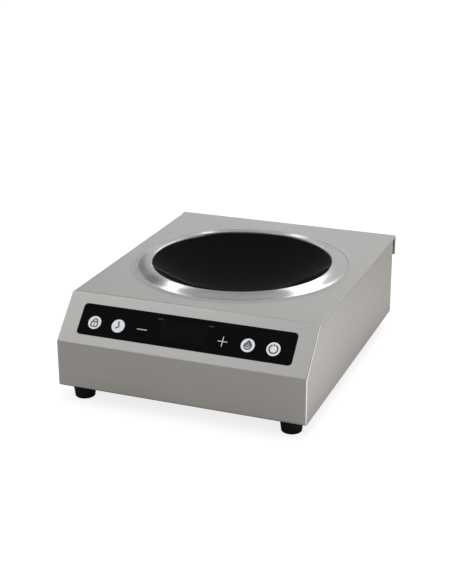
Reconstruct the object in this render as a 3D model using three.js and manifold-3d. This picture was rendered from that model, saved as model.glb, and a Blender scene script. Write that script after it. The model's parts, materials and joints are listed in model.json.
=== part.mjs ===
// A countertop induction hob for one wok: a folded stainless casing with a sloped control strip,
// a dished glass plate in a spun trim ring, and the coil, electronics and fans inside.
// Millimetres, +Z up, the front faces -Y. The origin is under the middle, on the worktop.

import * as THREE from 'three';
import { mergeVertices } from 'three/addons/utils/BufferGeometryUtils.js';
import Module from 'manifold-3d';

const wasm = await Module();
wasm.setup();

// ---------------------------------------------------------------------------
// Driving dimensions
// ---------------------------------------------------------------------------

const GAP = 0.3; // left between pieces that rest on each other

// Casing, in folded sheet
const CASING_WIDTH = 340;
const CASING_DEPTH = 404; // front face to rear wall
const CASING_HEIGHT = 115; // underside to top sheet
const FRONT_HEIGHT = 63; // underside to the bend where the slope begins
const SLOPE_RUN = 50.5; // how far back the slope reaches
const LIP_REACH = 18; // how far the top carries on past the rear wall
const LIP_DROP = 30;
const SHEET = 1.2;
const BEND_RADIUS = 3;
const EDGE_RADIUS = 1.5; // of the vertical front edges
const TOP_EDGE_RADIUS = 4.5; // where the top folds down into the sides
const BOTTOM_FLANGE = 34;
const REAR_FLANGE = 14;

// Feet
const FOOT_HEIGHT = 19.7;
const FOOT_TOP_RADIUS = 15.5;
const FOOT_BOTTOM_RADIUS = 13.1;
const FOOT_INSET_X = 26.3;
const FOOT_INSET_Y = 22.7;
const FOOT_BORE_RADIUS = 6.5;
const FOOT_BORE_DEPTH = 9;
const FOOT_SCREW_RADIUS = 2.5;
const FOOT_SCREW_HEAD_RADIUS = 5;
const FOOT_SCREW_HEAD = 3;
const WELD_NUT_RADIUS = 5.5;
const WELD_NUT_HEIGHT = 5;

// Glass plate: a slice of a sphere, its upper face inward
const GLASS_RADIUS = 195; // of the sphere that the upper face follows
const GLASS_THICKNESS = 4;
const SIGHT_RADIUS = 124.3; // where the trim ring's lip meets the glass
const SIGHT_RISE = 1.2; // of that line above the top sheet
const GLASS_UNDER_RING = 1.9; // how far the glass goes on under the lip
const RING_CENTRE_FROM_FRONT = 228;

// Trim ring
const RING_BAND = 23.2; // from the lip out to the ring's edge
const RING_CREST = 4.6; // above the top sheet
const RING_SHEET = 1;
const RING_FOOT = 2.5;
const CASING_HOLE_CLEARANCE = 3.2; // round the glass's widest edge

// Gasket and support ring under the glass's edge
const GASKET_THICKNESS = 1.5;
const GASKET_BAND = 5; // degrees of the glass's sphere
const SUPPORT_SHEET = 1.5;
const SUPPORT_FLANGE = 16;

// Coil stack under the glass
const INSULATION_THICKNESS = 3;
const INSULATION_INSET = 0.5; // inside the coil's outer edge
const SENSOR_RADIUS = 6;
const LITZ_RADIUS = 2.5;
const STACK_CLEARANCE = 0.6; // between the dished layers
const COIL_MARGIN = 32; // from the sight line in to the largest turn
const COIL_PITCH = 7;
const COIL_STEPS = 20; // straight lengths in a turn
const COIL_INNER_RADIUS = 24;
const FORMER_THICKNESS = 3;
const FORMER_MARGIN = 3;
const FORMER_FLANGE = 16;
const FERRITE_COUNT = 6;
const FERRITE_MARGIN = 6; // inside the coil's edges
const FERRITE_WIDTH = 14;
const FERRITE_THICKNESS = 5;
const FRAME_SHEET = 2;
const FRAME_RING_WIDTH = 14;
const FRAME_LEG_WIDTH = 16;
const FRAME_TAB = 14;

// Fans
const FAN_SIZE = 80;
const FAN_THICKNESS = 25;
const FAN_SPACING = 8;
const FAN_LEG_CLEARANCE = 1.5;
const FAN_WALL = 1.5;
const FAN_BLADES = 7;
const FAN_TIP_CLEARANCE = 1.5;
const FAN_HUB_RADIUS = 17;
const FAN_SPIDER = 4;
const FAN_SHAFT_RADIUS = 2;
const DUCT_WALL = 1.5;
const DUCT_HEIGHT = 18;
const SLOT_WIDTH = 4;
const SLOT_PITCH = 8;

// Base plate and rear panel
const PLATE_SHEET = 1.2;
const PLATE_CLEARANCE = 0.6; // to the casing's walls
const PILLAR_RADIUS = 4;
const PILLAR_HEIGHT = 4;
const VENT = { width: 6, height: 60, pitch: 16, count: 12 };
const REAR_SCREW_RADIUS = 1.6;
const REAR_SCREW_HEAD_RADIUS = 3.4;
const REAR_SCREW_HEAD = 2;
const REAR_SCREW_LENGTH = 8;
const REAR_SCREW_INSET = 25; // from the casing's underside and from its top

// Cable inlet
const GLAND = { inset: 40, height: 30, radius: 11.5, thread: 8, bore: 4, reach: 17, inside: 8 };
const LOCKNUT = { width: 22, thickness: 4 };
const TERMINAL = { inset: 42, fromRear: 52, width: 44, depth: 22, height: 18 };

// Power board
const BOARD_THICKNESS = 1.6;
const BOARD_TAB_CLEARANCE = 2.5;
const BOARD_END_INSET = 3; // how much nearer its front and back edges lie
const DEVICE_HEIGHT = 5;
const HEAT_SINK = { depth: 120, base: 5, fins: 14, fin: 1.8, fromEdge: 7, fromMiddle: 4 };
const HEAT_SINK_CLEARANCE = 7.4; // under the ferrite bars

// Control strip, in the slope's own frame: x across, y up the slope, z out of it
const FASCIA_WIDTH = 292;
const FASCIA_HEIGHT = 43.2;
const FASCIA_OFFSET = -0.65; // from the middle of the slope
const FASCIA_CORNER = 5;
const FASCIA_LAP = 4; // of its back flange behind the casing
const FASCIA_FLANGE = 2;
const KEY_RADIUS = 10;
const SIGN_KEY_RADIUS = 8;
const KEY_CLEARANCE = 0.4;
const KEY_RISE = 0.3;
const KEY_TRAVEL = 0.5;
const KEY_FLANGE = 2;
const KEY_FLANGE_THICKNESS = 1.2;
const KEY_STEM_RADIUS = 2.5;
const KEY_STEM = 2.2;
const KEY_LINE = 18; // up the slope from the fascia's lower edge
const KEY_SHIFT = -2.9; // of the keys and display from the casing's middle
const OUTER_KEY_X = 122;
const INNER_KEY_X = 88.5;
const SIGN_KEY_X = 55;
const SWITCH = { body: 6, height: 3.5, plunger: 1.75, stroke: 0.7 };
const CONTROL_BOARD = { width: 276, height: 40, thickness: 1.6 };
const DISPLAY = { width: 50, height: 19 };
const BUZZER = { x: 36.5, radius: 6, height: 5 };
const RIBBON = { fromEdge: 55, width: 20, thickness: 1 };

// ---------------------------------------------------------------------------
// Derived places
// ---------------------------------------------------------------------------

const UNDERSIDE = FOOT_HEIGHT + GAP;
const TOP = UNDERSIDE + CASING_HEIGHT;
const BEND_Z = UNDERSIDE + FRONT_HEIGHT;
const FRONT = -(CASING_DEPTH + LIP_REACH) / 2;
const REAR = FRONT + CASING_DEPTH;
const HALF_WIDTH = CASING_WIDTH / 2;
const SLOPE_ANGLE = Math.atan2(TOP - BEND_Z, SLOPE_RUN);
const SLOPE_LENGTH = Math.hypot(TOP - BEND_Z, SLOPE_RUN);

const RING_Y = FRONT + RING_CENTRE_FROM_FRONT;
const SPHERE_Z = TOP + SIGHT_RISE + Math.sqrt(GLASS_RADIUS ** 2 - SIGHT_RADIUS ** 2);
const GLASS_EDGE_ANGLE = Math.asin((SIGHT_RADIUS + GLASS_UNDER_RING) / GLASS_RADIUS);
const GLASS_UNDER = GLASS_RADIUS + GLASS_THICKNESS;
const CASING_HOLE_RADIUS = GLASS_UNDER * Math.sin(GLASS_EDGE_ANGLE) + CASING_HOLE_CLEARANCE;

const INSULATION_TOP = GLASS_UNDER + STACK_CLEARANCE;
const INSULATION_UNDER = INSULATION_TOP + INSULATION_THICKNESS;
const COIL_SPHERE = INSULATION_UNDER + STACK_CLEARANCE + LITZ_RADIUS;
const COIL_ROOM = SIGHT_RADIUS - COIL_MARGIN - COIL_INNER_RADIUS;
const COIL_TURNS = Math.floor(COIL_ROOM / COIL_PITCH);
const COIL_OUTER_RADIUS = COIL_INNER_RADIUS + COIL_TURNS * COIL_PITCH;
const INSULATION_RADIUS = COIL_OUTER_RADIUS - INSULATION_INSET;
const FORMER_TOP = COIL_SPHERE + LITZ_RADIUS + STACK_CLEARANCE;
const FORMER_UNDER = FORMER_TOP + FORMER_THICKNESS;
const FORMER_RADIUS = COIL_OUTER_RADIUS + LITZ_RADIUS + FORMER_MARGIN;
const FORMER_RIM_Z = sphereHeight(FORMER_TOP, FORMER_RADIUS);
const FORMER_HOLE_RADIUS = COIL_INNER_RADIUS - LITZ_RADIUS - 8;
const FERRITE_LENGTH = COIL_OUTER_RADIUS - COIL_INNER_RADIUS - 2 * FERRITE_MARGIN;
const FERRITE_MIDDLE_RADIUS = (COIL_OUTER_RADIUS + COIL_INNER_RADIUS) / 2;
const FERRITE_SPHERE = FORMER_UNDER + GAP + FERRITE_THICKNESS / 2;
const FERRITE_LEAN = Math.asin(FERRITE_MIDDLE_RADIUS / FERRITE_SPHERE);
const FERRITE_LOW = SPHERE_Z
  - (FERRITE_SPHERE + FERRITE_THICKNESS / 2) * Math.cos(FERRITE_LEAN)
  - (FERRITE_LENGTH / 2) * Math.sin(FERRITE_LEAN);

const PLATE_UNDER = UNDERSIDE + SHEET + GAP;
const PLATE_TOP = PLATE_UNDER + PLATE_SHEET;
const PANEL_OUTSIDE = REAR - SHEET - GAP;
const PANEL_INSIDE = PANEL_OUTSIDE - PLATE_SHEET;
const FOOT_X = HALF_WIDTH - FOOT_INSET_X;
const FOOT_YS = [FRONT + FOOT_INSET_Y, REAR - FOOT_INSET_Y];
const REAR_SCREW_X = HALF_WIDTH - REAR_FLANGE / 2;
const REAR_SCREW_HEIGHTS = [REAR_SCREW_INSET, CASING_HEIGHT - REAR_SCREW_INSET];
const GLAND_X = GLAND.inset - HALF_WIDTH;
const TERMINAL_X = TERMINAL.inset - HALF_WIDTH;

const FRAME_TOP = FORMER_RIM_Z - FORMER_THICKNESS - GAP;
const FRAME_RADIUS = FORMER_RADIUS + FORMER_FLANGE;
const LEG_RADIUS = FRAME_RADIUS - 2 * FRAME_SHEET;
const BOARD_HALF_WIDTH = LEG_RADIUS - FRAME_TAB - BOARD_TAB_CLEARANCE;
const BOARD_HALF_DEPTH = BOARD_HALF_WIDTH - BOARD_END_INSET;
const BOARD_UNDER = PLATE_TOP + PILLAR_HEIGHT + GAP;
const BOARD_TOP = BOARD_UNDER + BOARD_THICKNESS;
const DEVICE_UNDER = BOARD_TOP + GAP;
const HEAT_SINK_UNDER = DEVICE_UNDER + DEVICE_HEIGHT + GAP;
const HEAT_SINK_WIDTH = BOARD_HALF_WIDTH - HEAT_SINK.fromEdge - HEAT_SINK.fromMiddle;
const HEAT_SINK_X = -(HEAT_SINK.fromMiddle + HEAT_SINK_WIDTH / 2);
const HEAT_SINK_HEIGHT = FERRITE_LOW - HEAT_SINK_CLEARANCE - HEAT_SINK_UNDER;

const FAN_X = (FAN_SIZE + FAN_SPACING) / 2;
const FAN_BORE_RADIUS = FAN_SIZE / 2 - FAN_WALL;
const FAN_BACK = RING_Y - LEG_RADIUS - FRAME_SHEET / 2 - FAN_LEG_CLEARANCE;
const FAN_Y = FAN_BACK - FAN_SIZE / 2;
const FAN_UNDER = PLATE_TOP + GAP;
const FAN_TOP = FAN_UNDER + FAN_THICKNESS;
const DUCT_TOP = FAN_TOP + GAP + DUCT_HEIGHT;

const FASCIA_Y = SLOPE_LENGTH / 2 + FASCIA_OFFSET;
const KEY_Y = FASCIA_Y - FASCIA_HEIGHT / 2 + KEY_LINE;
const FASCIA_FLANGE_TOP = -(SHEET + GAP);
const FASCIA_BACK = FASCIA_FLANGE_TOP - FASCIA_FLANGE;
const KEY_FLANGE_TOP = FASCIA_BACK - GAP;
const KEY_BOTTOM = KEY_FLANGE_TOP - KEY_FLANGE_THICKNESS - KEY_STEM;
const SWITCH_TOP = KEY_BOTTOM - KEY_TRAVEL - 0.1;
const CONTROL_BOARD_TOP = SWITCH_TOP - SWITCH.stroke - SWITCH.height;
const CONTROL_BOARD_BACK = CONTROL_BOARD_TOP - CONTROL_BOARD.thickness;
const KEY_XS = [-OUTER_KEY_X, -INNER_KEY_X, -SIGN_KEY_X, SIGN_KEY_X, INNER_KEY_X, OUTER_KEY_X].map(
  (x) => x + KEY_SHIFT,
);

// Height of a point on the underside or upper side of a sphere of the dished stack
function sphereHeight(sphereRadius, fromAxis) {
  return SPHERE_Z - Math.sqrt(sphereRadius ** 2 - fromAxis ** 2);
}

// ---------------------------------------------------------------------------
// Solids: closed geometries in and out of the boolean library
// ---------------------------------------------------------------------------

function volumeOf(points, triangles) {
  const a = new THREE.Vector3();
  const b = new THREE.Vector3();
  const c = new THREE.Vector3();
  let volume = 0;
  for (let i = 0; i < triangles.length; i += 3) {
    a.fromArray(points, 3 * triangles[i]);
    b.fromArray(points, 3 * triangles[i + 1]);
    c.fromArray(points, 3 * triangles[i + 2]);
    volume += a.dot(b.cross(c)) / 6;
  }
  return volume;
}

function solidOf(geometry) {
  const bare = new THREE.BufferGeometry();
  bare.setAttribute('position', geometry.getAttribute('position').clone());
  bare.setIndex(geometry.getIndex());
  const merged = mergeVertices(bare, 1e-4);
  const points = merged.getAttribute('position').array;
  const index = merged.getIndex().array;
  const triangles = [];
  for (let i = 0; i < index.length; i += 3) {
    const [a, b, c] = [index[i], index[i + 1], index[i + 2]];
    if (a !== b && b !== c && c !== a) {
      triangles.push(a, b, c);
    }
  }
  if (volumeOf(points, triangles) < 0) {
    triangles.reverse();
  }
  const mesh = new wasm.Mesh({
    numProp: 3,
    vertProperties: new Float32Array(points),
    triVerts: new Uint32Array(triangles),
  });
  return new wasm.Manifold(mesh);
}

function geometryOf(solid) {
  const mesh = solid.getMesh();
  const geometry = new THREE.BufferGeometry();
  geometry.setAttribute('position', new THREE.BufferAttribute(mesh.vertProperties, 3));
  geometry.setIndex(new THREE.BufferAttribute(mesh.triVerts, 1));
  geometry.computeVertexNormals();
  return geometry;
}

function joined(geometries) {
  const solids = geometries.map(solidOf);
  return geometryOf(solids.reduce((all, next) => all.add(next)));
}

function cutBy(geometry, tools) {
  const solids = tools.map(solidOf);
  return geometryOf(solids.reduce((rest, tool) => rest.subtract(tool), solidOf(geometry)));
}

function commonTo(geometries) {
  const solids = geometries.map(solidOf);
  return geometryOf(solids.reduce((all, next) => all.intersect(next)));
}

// ---------------------------------------------------------------------------
// Outlines and ways to sweep them
// ---------------------------------------------------------------------------

// A closed outline through corners {x, y, radius}, each with its radius as an arc
function filletedShape(corners) {
  const shape = new THREE.Shape();
  corners.forEach((corner, i) => {
    const at = new THREE.Vector2(corner.x, corner.y);
    const before = corners[(i + corners.length - 1) % corners.length];
    const after = corners[(i + 1) % corners.length];
    const back = new THREE.Vector2(before.x, before.y).sub(at).normalize();
    const ahead = new THREE.Vector2(after.x, after.y).sub(at).normalize();
    if (!corner.radius) {
      shape[i ? 'lineTo' : 'moveTo'](at.x, at.y);
      return;
    }
    const half = Math.acos(back.dot(ahead)) / 2;
    const toTangent = corner.radius / Math.tan(half);
    const centre = back.clone().add(ahead).normalize();
    centre.multiplyScalar(corner.radius / Math.sin(half)).add(at);
    const start = back.clone().multiplyScalar(toTangent).add(at);
    const end = ahead.clone().multiplyScalar(toTangent).add(at);
    shape[i ? 'lineTo' : 'moveTo'](start.x, start.y);
    const from = Math.atan2(start.y - centre.y, start.x - centre.x);
    const to = Math.atan2(end.y - centre.y, end.x - centre.x);
    shape.absarc(centre.x, centre.y, corner.radius, from, to, back.cross(ahead) > 0);
  });
  shape.closePath();
  return shape;
}

function rectangle(width, height, radius = 0, x = 0, y = 0) {
  return filletedShape([
    { x: x - width / 2, y: y - height / 2, radius },
    { x: x + width / 2, y: y - height / 2, radius },
    { x: x + width / 2, y: y + height / 2, radius },
    { x: x - width / 2, y: y + height / 2, radius },
  ]);
}

function circle(radius, x = 0, y = 0) {
  return new THREE.Shape().absarc(x, y, radius, 0, 2 * Math.PI, false);
}

// A strip of even thickness along a smooth line through the given points
function stripShape(points, thickness, steps) {
  const line = new THREE.SplineCurve(points);
  const side = (t, offset) => {
    const along = line.getTangent(t);
    const at = line.getPoint(t);
    return new THREE.Vector2(at.x - along.y * offset, at.y + along.x * offset);
  };
  const outline = [];
  for (let i = 0; i <= steps; i += 1) {
    outline.push(side(i / steps, thickness / 2));
  }
  for (let i = steps; i >= 0; i -= 1) {
    outline.push(side(i / steps, -thickness / 2));
  }
  return new THREE.Shape(outline);
}

function extruded(shape, depth, curveSegments) {
  return new THREE.ExtrudeGeometry(shape, { depth, bevelEnabled: false, curveSegments });
}

function alongZ(shape, from, to, curveSegments = 3) {
  return extruded(shape, to - from, curveSegments).translate(0, 0, from);
}

// The outline's x and y become x and z
function alongY(shape, from, to, curveSegments = 3) {
  return extruded(shape, to - from, curveSegments).rotateX(Math.PI / 2).translate(0, to, 0);
}

// The outline's x and y become y and z
function alongX(shape, from, to, curveSegments = 3) {
  const turn = new THREE.Matrix4().set(0, 0, 1, 0, 1, 0, 0, 0, 0, 1, 0, 0, 0, 0, 0, 1);
  return extruded(shape, to - from, curveSegments).applyMatrix4(turn).translate(from, 0, 0);
}

// A section that doesn't reach the axis ends where it begins
function closed(points) {
  return [...points, points[0]];
}

// A profile of [radius, height] points turned about +Z
function turned(profile, segments) {
  const points = profile.map(([radius, height]) => new THREE.Vector2(radius, height));
  return new THREE.LatheGeometry(points, segments).rotateX(Math.PI / 2);
}

function block(width, depth, height, x, y, under) {
  return new THREE.BoxGeometry(width, depth, height).translate(x, y, under + height / 2);
}

// Points [radius, height] along a sphere of the dished stack, between two angles from its axis
function arcOnSphere(sphereRadius, fromAngle, toAngle, steps) {
  const points = [];
  for (let i = 0; i <= steps; i += 1) {
    const angle = fromAngle + ((toAngle - fromAngle) * i) / steps;
    points.push([sphereRadius * Math.sin(angle), SPHERE_Z - sphereRadius * Math.cos(angle)]);
  }
  return points;
}

// ---------------------------------------------------------------------------
// The scene graph
// ---------------------------------------------------------------------------

const hob = new THREE.Group();

// What lies on the slope is placed in the slope's own frame
const slope = new THREE.Group();
slope.position.set(0, FRONT, BEND_Z);
slope.rotation.x = SLOPE_ANGLE;
slope.updateMatrix();
hob.add(slope);

// What is centred on the ring is placed on the ring's axis
const ringAxis = new THREE.Group();
ringAxis.position.set(0, RING_Y, 0);
hob.add(ringAxis);

const looks = {
  steel: { color: 0xb1b2ad, roughness: 0.42, metalness: 1 },
  polished: { color: 0xd2d3d0, roughness: 0.22, metalness: 1 },
  galvanised: { color: 0x9c9f9f, roughness: 0.5, metalness: 1 },
  aluminium: { color: 0xb9bcbf, roughness: 0.45, metalness: 1 },
  glass: { color: 0x0b0b0c, roughness: 0.08, metalness: 0 },
  fascia: { color: 0x0d0d0e, roughness: 0.15, metalness: 0 },
  white: { color: 0xe8eaec, roughness: 0.35, metalness: 0 },
  rubber: { color: 0x161616, roughness: 0.85, metalness: 0 },
  silicone: { color: 0x3a3a3a, roughness: 0.7, metalness: 0 },
  blackPlastic: { color: 0x1c1c1d, roughness: 0.55, metalness: 0 },
  mica: { color: 0xcfc7b4, roughness: 0.8, metalness: 0 },
  former: { color: 0x2a2622, roughness: 0.7, metalness: 0 },
  copper: { color: 0xa8623a, roughness: 0.45, metalness: 1 },
  ferrite: { color: 0x2b2b2d, roughness: 0.6, metalness: 0 },
  circuitBoard: { color: 0x1d5a34, roughness: 0.5, metalness: 0 },
  cable: { color: 0x9a9a98, roughness: 0.6, metalness: 0 },
  ceramic: { color: 0xdcdad2, roughness: 0.6, metalness: 0 },
  capacitor: { color: 0x2b4f86, roughness: 0.45, metalness: 0 },
};

function place(name, geometry, look, parent = hob) {
  const outward = geometryOf(solidOf(geometry));
  const mesh = new THREE.Mesh(outward, new THREE.MeshStandardMaterial(looks[look]));
  mesh.name = name;
  parent.add(mesh);
  return mesh;
}

// ---------------------------------------------------------------------------
// Casing, base and rear panel
// ---------------------------------------------------------------------------

// The casing's side view, drawn a distance inside its outer faces
function casingProfile(inset) {
  const lean = Math.tan((Math.PI / 2 - SLOPE_ANGLE) / 2) * inset;
  const crease = Math.tan(SLOPE_ANGLE / 2) * inset;
  const radius = BEND_RADIUS - inset;
  return filletedShape([
    { x: FRONT + inset, y: UNDERSIDE + inset, radius },
    { x: REAR - inset, y: UNDERSIDE + inset },
    { x: REAR - inset, y: TOP - inset },
    { x: FRONT + SLOPE_RUN + crease, y: TOP - inset, radius },
    { x: FRONT + inset, y: BEND_Z - lean, radius },
  ]);
}

function rearLip() {
  const end = REAR + LIP_REACH;
  return alongX(
    filletedShape([
      { x: REAR - 2 * SHEET, y: TOP - SHEET },
      { x: end - SHEET, y: TOP - SHEET, radius: BEND_RADIUS - SHEET },
      { x: end - SHEET, y: TOP - LIP_DROP },
      { x: end, y: TOP - LIP_DROP },
      { x: end, y: TOP, radius: BEND_RADIUS },
      { x: REAR - 2 * SHEET, y: TOP },
    ]),
    -HALF_WIDTH,
    HALF_WIDTH,
  );
}

// The casing's section across, a distance inside its outer faces
function casingSection(inset) {
  const half = HALF_WIDTH - inset;
  const radius = TOP_EDGE_RADIUS - inset;
  return filletedShape([
    { x: -half, y: UNDERSIDE + inset },
    { x: half, y: UNDERSIDE + inset },
    { x: half, y: TOP - inset, radius },
    { x: -half, y: TOP - inset, radius },
  ]);
}

// Rounds the vertical front edges, and the edges between the top and the sides
function edgeRounding() {
  const end = REAR + LIP_REACH + 1;
  const plan = filletedShape([
    { x: -HALF_WIDTH, y: FRONT, radius: EDGE_RADIUS },
    { x: HALF_WIDTH, y: FRONT, radius: EDGE_RADIUS },
    { x: HALF_WIDTH, y: end },
    { x: -HALF_WIDTH, y: end },
  ]);
  return [alongZ(plan, UNDERSIDE, TOP), alongY(casingSection(0), FRONT, end)];
}

function footHoles(radius) {
  const holes = [];
  for (const y of FOOT_YS) {
    for (const x of [-FOOT_X, FOOT_X]) {
      holes.push(alongZ(circle(radius, x, y), UNDERSIDE - 1, PLATE_TOP + WELD_NUT_HEIGHT + 1, 4));
    }
  }
  return holes;
}

function rearScrewHoles() {
  const holes = [];
  for (const height of REAR_SCREW_HEIGHTS) {
    for (const x of [-REAR_SCREW_X, REAR_SCREW_X]) {
      const hole = circle(REAR_SCREW_RADIUS + GAP, x, UNDERSIDE + height);
      holes.push(alongY(hole, PANEL_INSIDE - 1, REAR + 1));
    }
  }
  return holes;
}

function outerCasing() {
  const solid = alongX(casingProfile(0), -HALF_WIDTH, HALF_WIDTH);
  const blank = commonTo([joined([solid, rearLip()]), ...edgeRounding()]);
  const room = commonTo([
    alongX(casingProfile(SHEET), SHEET - HALF_WIDTH, HALF_WIDTH - SHEET),
    alongY(casingSection(SHEET), FRONT, REAR),
  ]);
  const openWidth = CASING_WIDTH - 2 * BOTTOM_FLANGE;
  const openDepth = CASING_DEPTH - 2 * BOTTOM_FLANGE;
  const bottomWindow = rectangle(openWidth, openDepth, 6, 0, (FRONT + REAR) / 2);
  const rearWidth = CASING_WIDTH - 2 * REAR_FLANGE;
  const rearHeight = CASING_HEIGHT - 2 * REAR_FLANGE;
  const rearWindow = rectangle(rearWidth, rearHeight, 4, 0, (UNDERSIDE + TOP) / 2);
  const glassHole = circle(CASING_HOLE_RADIUS, 0, RING_Y);
  const window = fasciaOutline(GAP);
  const shell = cutBy(blank, [
    room,
    alongZ(bottomWindow, UNDERSIDE - 1, UNDERSIDE + SHEET + 1),
    alongY(rearWindow, REAR - SHEET - 1, REAR + 1),
    alongZ(glassHole, TOP - SHEET - 1, TOP + 1, 24),
    alongZ(window, FASCIA_FLANGE_TOP, 1).applyMatrix4(slope.matrix),
    ...footHoles(FOOT_SCREW_RADIUS + GAP),
    ...rearScrewHoles(),
  ]);
  place('outer_casing', shell, 'steel');
}

// Rounded slots of growing and shrinking length that together fill a fan's circle
function intakeSlots(x) {
  const slots = [];
  const radius = FAN_BORE_RADIUS - 2;
  const rows = Math.floor((radius - SLOT_WIDTH) / SLOT_PITCH);
  for (let row = -rows; row <= rows; row += 1) {
    const offset = row * SLOT_PITCH;
    const length = 2 * Math.sqrt(radius ** 2 - offset ** 2);
    const slot = rectangle(length, SLOT_WIDTH, SLOT_WIDTH / 2 - 0.01, x, FAN_Y + offset);
    slots.push(alongZ(slot, PLATE_UNDER - 1, PLATE_TOP + 1, 1));
  }
  return slots;
}

function basePlate() {
  const width = CASING_WIDTH - 2 * (SHEET + PLATE_CLEARANCE);
  const from = FRONT + BEND_RADIUS + GAP;
  const depth = PANEL_INSIDE - GAP - from;
  const plate = block(width, depth, PLATE_SHEET, 0, from + depth / 2, PLATE_UNDER);
  const raised = [];
  for (const x of [-1, 1]) {
    for (const y of [-1, 1]) {
      const pillarX = x * (BOARD_HALF_WIDTH - 2 * PILLAR_RADIUS);
      const pillarY = RING_Y + y * (BOARD_HALF_DEPTH - 2 * PILLAR_RADIUS);
      const pillar = circle(PILLAR_RADIUS, pillarX, pillarY);
      raised.push(alongZ(pillar, PLATE_TOP - 0.5, PLATE_TOP + PILLAR_HEIGHT, 4));
    }
    for (const y of FOOT_YS) {
      const nut = circle(WELD_NUT_RADIUS, x * FOOT_X, y);
      raised.push(alongZ(nut, PLATE_TOP - 0.5, PLATE_TOP + WELD_NUT_HEIGHT, 4));
    }
  }
  const holes = [
    ...footHoles(FOOT_SCREW_RADIUS + GAP),
    ...intakeSlots(-FAN_X),
    ...intakeSlots(FAN_X),
  ];
  place('base_plate', cutBy(joined([plate, ...raised]), holes), 'galvanised');
}

function rearPanel() {
  const half = HALF_WIDTH - SHEET - PLATE_CLEARANCE;
  const under = PLATE_TOP + GAP;
  const over = TOP - SHEET - PLATE_CLEARANCE;
  const panel = rectangle(2 * half, over - under, TOP_EDGE_RADIUS, 0, (over + under) / 2);
  const slots = [];
  for (let i = 0; i < VENT.count; i += 1) {
    const x = (i - (VENT.count - 1) / 2) * VENT.pitch + VENT.pitch;
    const slot = rectangle(VENT.width, VENT.height, VENT.width / 2 - 0.01, x, (UNDERSIDE + TOP) / 2);
    slots.push(alongY(slot, PANEL_INSIDE - 1, PANEL_OUTSIDE + 1, 1));
  }
  const inlet = circle(GLAND.thread + GAP, GLAND_X, UNDERSIDE + GLAND.height);
  const solid = cutBy(alongY(panel, PANEL_INSIDE, PANEL_OUTSIDE), [
    ...slots,
    alongY(inlet, PANEL_INSIDE - 1, PANEL_OUTSIDE + 1, 8),
    ...rearScrewHoles(),
  ]);
  place('rear_panel', solid, 'steel');
}

function rearScrew(name, x, height) {
  const under = GAP;
  const screw = turned(
    [
      [0, -REAR_SCREW_LENGTH],
      [REAR_SCREW_RADIUS, -REAR_SCREW_LENGTH],
      [REAR_SCREW_RADIUS, under],
      [REAR_SCREW_HEAD_RADIUS, under],
      [REAR_SCREW_HEAD_RADIUS * 0.8, under + REAR_SCREW_HEAD],
      [0, under + REAR_SCREW_HEAD],
    ],
    12,
  );
  const mesh = place(name, screw, 'polished');
  mesh.position.set(x, REAR, UNDERSIDE + height);
  mesh.rotation.x = -Math.PI / 2;
}

function rearScrews() {
  const [low, high] = REAR_SCREW_HEIGHTS;
  rearScrew('rear_screw_low_left', -REAR_SCREW_X, low);
  rearScrew('rear_screw_low_right', REAR_SCREW_X, low);
  rearScrew('rear_screw_high_left', -REAR_SCREW_X, high);
  rearScrew('rear_screw_high_right', REAR_SCREW_X, high);
}

function foot(name, x, y) {
  const rubber = turned(
    [
      [FOOT_SCREW_RADIUS + GAP, FOOT_HEIGHT],
      [FOOT_SCREW_RADIUS + GAP, FOOT_BORE_DEPTH],
      [FOOT_BORE_RADIUS, FOOT_BORE_DEPTH],
      [FOOT_BORE_RADIUS, 0],
      [FOOT_BOTTOM_RADIUS - 1.5, 0],
      [FOOT_BOTTOM_RADIUS, 1.5],
      [FOOT_TOP_RADIUS, FOOT_HEIGHT],
      [FOOT_SCREW_RADIUS + GAP, FOOT_HEIGHT],
    ],
    18,
  );
  place(`foot_${name}`, rubber, 'rubber').position.set(x, y, 0);
  const head = FOOT_BORE_DEPTH - GAP;
  const screw = turned(
    [
      [0, head - FOOT_SCREW_HEAD],
      [FOOT_SCREW_HEAD_RADIUS, head - FOOT_SCREW_HEAD],
      [FOOT_SCREW_HEAD_RADIUS, head],
      [FOOT_SCREW_RADIUS, head],
      [FOOT_SCREW_RADIUS, PLATE_TOP + WELD_NUT_HEIGHT + 2],
      [0, PLATE_TOP + WELD_NUT_HEIGHT + 2],
    ],
    12,
  );
  place(`foot_screw_${name}`, screw, 'galvanised').position.set(x, y, 0);
}

function feet() {
  foot('front_left', -FOOT_X, FOOT_YS[0]);
  foot('front_right', FOOT_X, FOOT_YS[0]);
  foot('rear_left', -FOOT_X, FOOT_YS[1]);
  foot('rear_right', FOOT_X, FOOT_YS[1]);
}

// ---------------------------------------------------------------------------
// Glass, its ring and its seat
// ---------------------------------------------------------------------------

function glassPlate() {
  const upper = arcOnSphere(GLASS_RADIUS, 0, GLASS_EDGE_ANGLE, 7);
  const under = arcOnSphere(GLASS_UNDER, GLASS_EDGE_ANGLE, 0, 6);
  place('glass_bowl', turned([...upper, ...under], 44), 'glass', ringAxis);
}

// Points [radius, height] from the ring's foot up to its crest, on one face of its sheet
function ringFace(footRadius, footHeight, crestRadius, crestHeight) {
  const bulge = new THREE.Vector2(
    (footRadius + crestRadius) / 2,
    footHeight + (crestHeight - footHeight) * 0.8,
  );
  const foot = new THREE.Vector2(footRadius, footHeight);
  const crest = new THREE.Vector2(crestRadius, crestHeight);
  const curve = new THREE.QuadraticBezierCurve(foot, bulge, crest);
  return curve.getPoints(3).map((point) => [point.x, point.y]);
}

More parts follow.
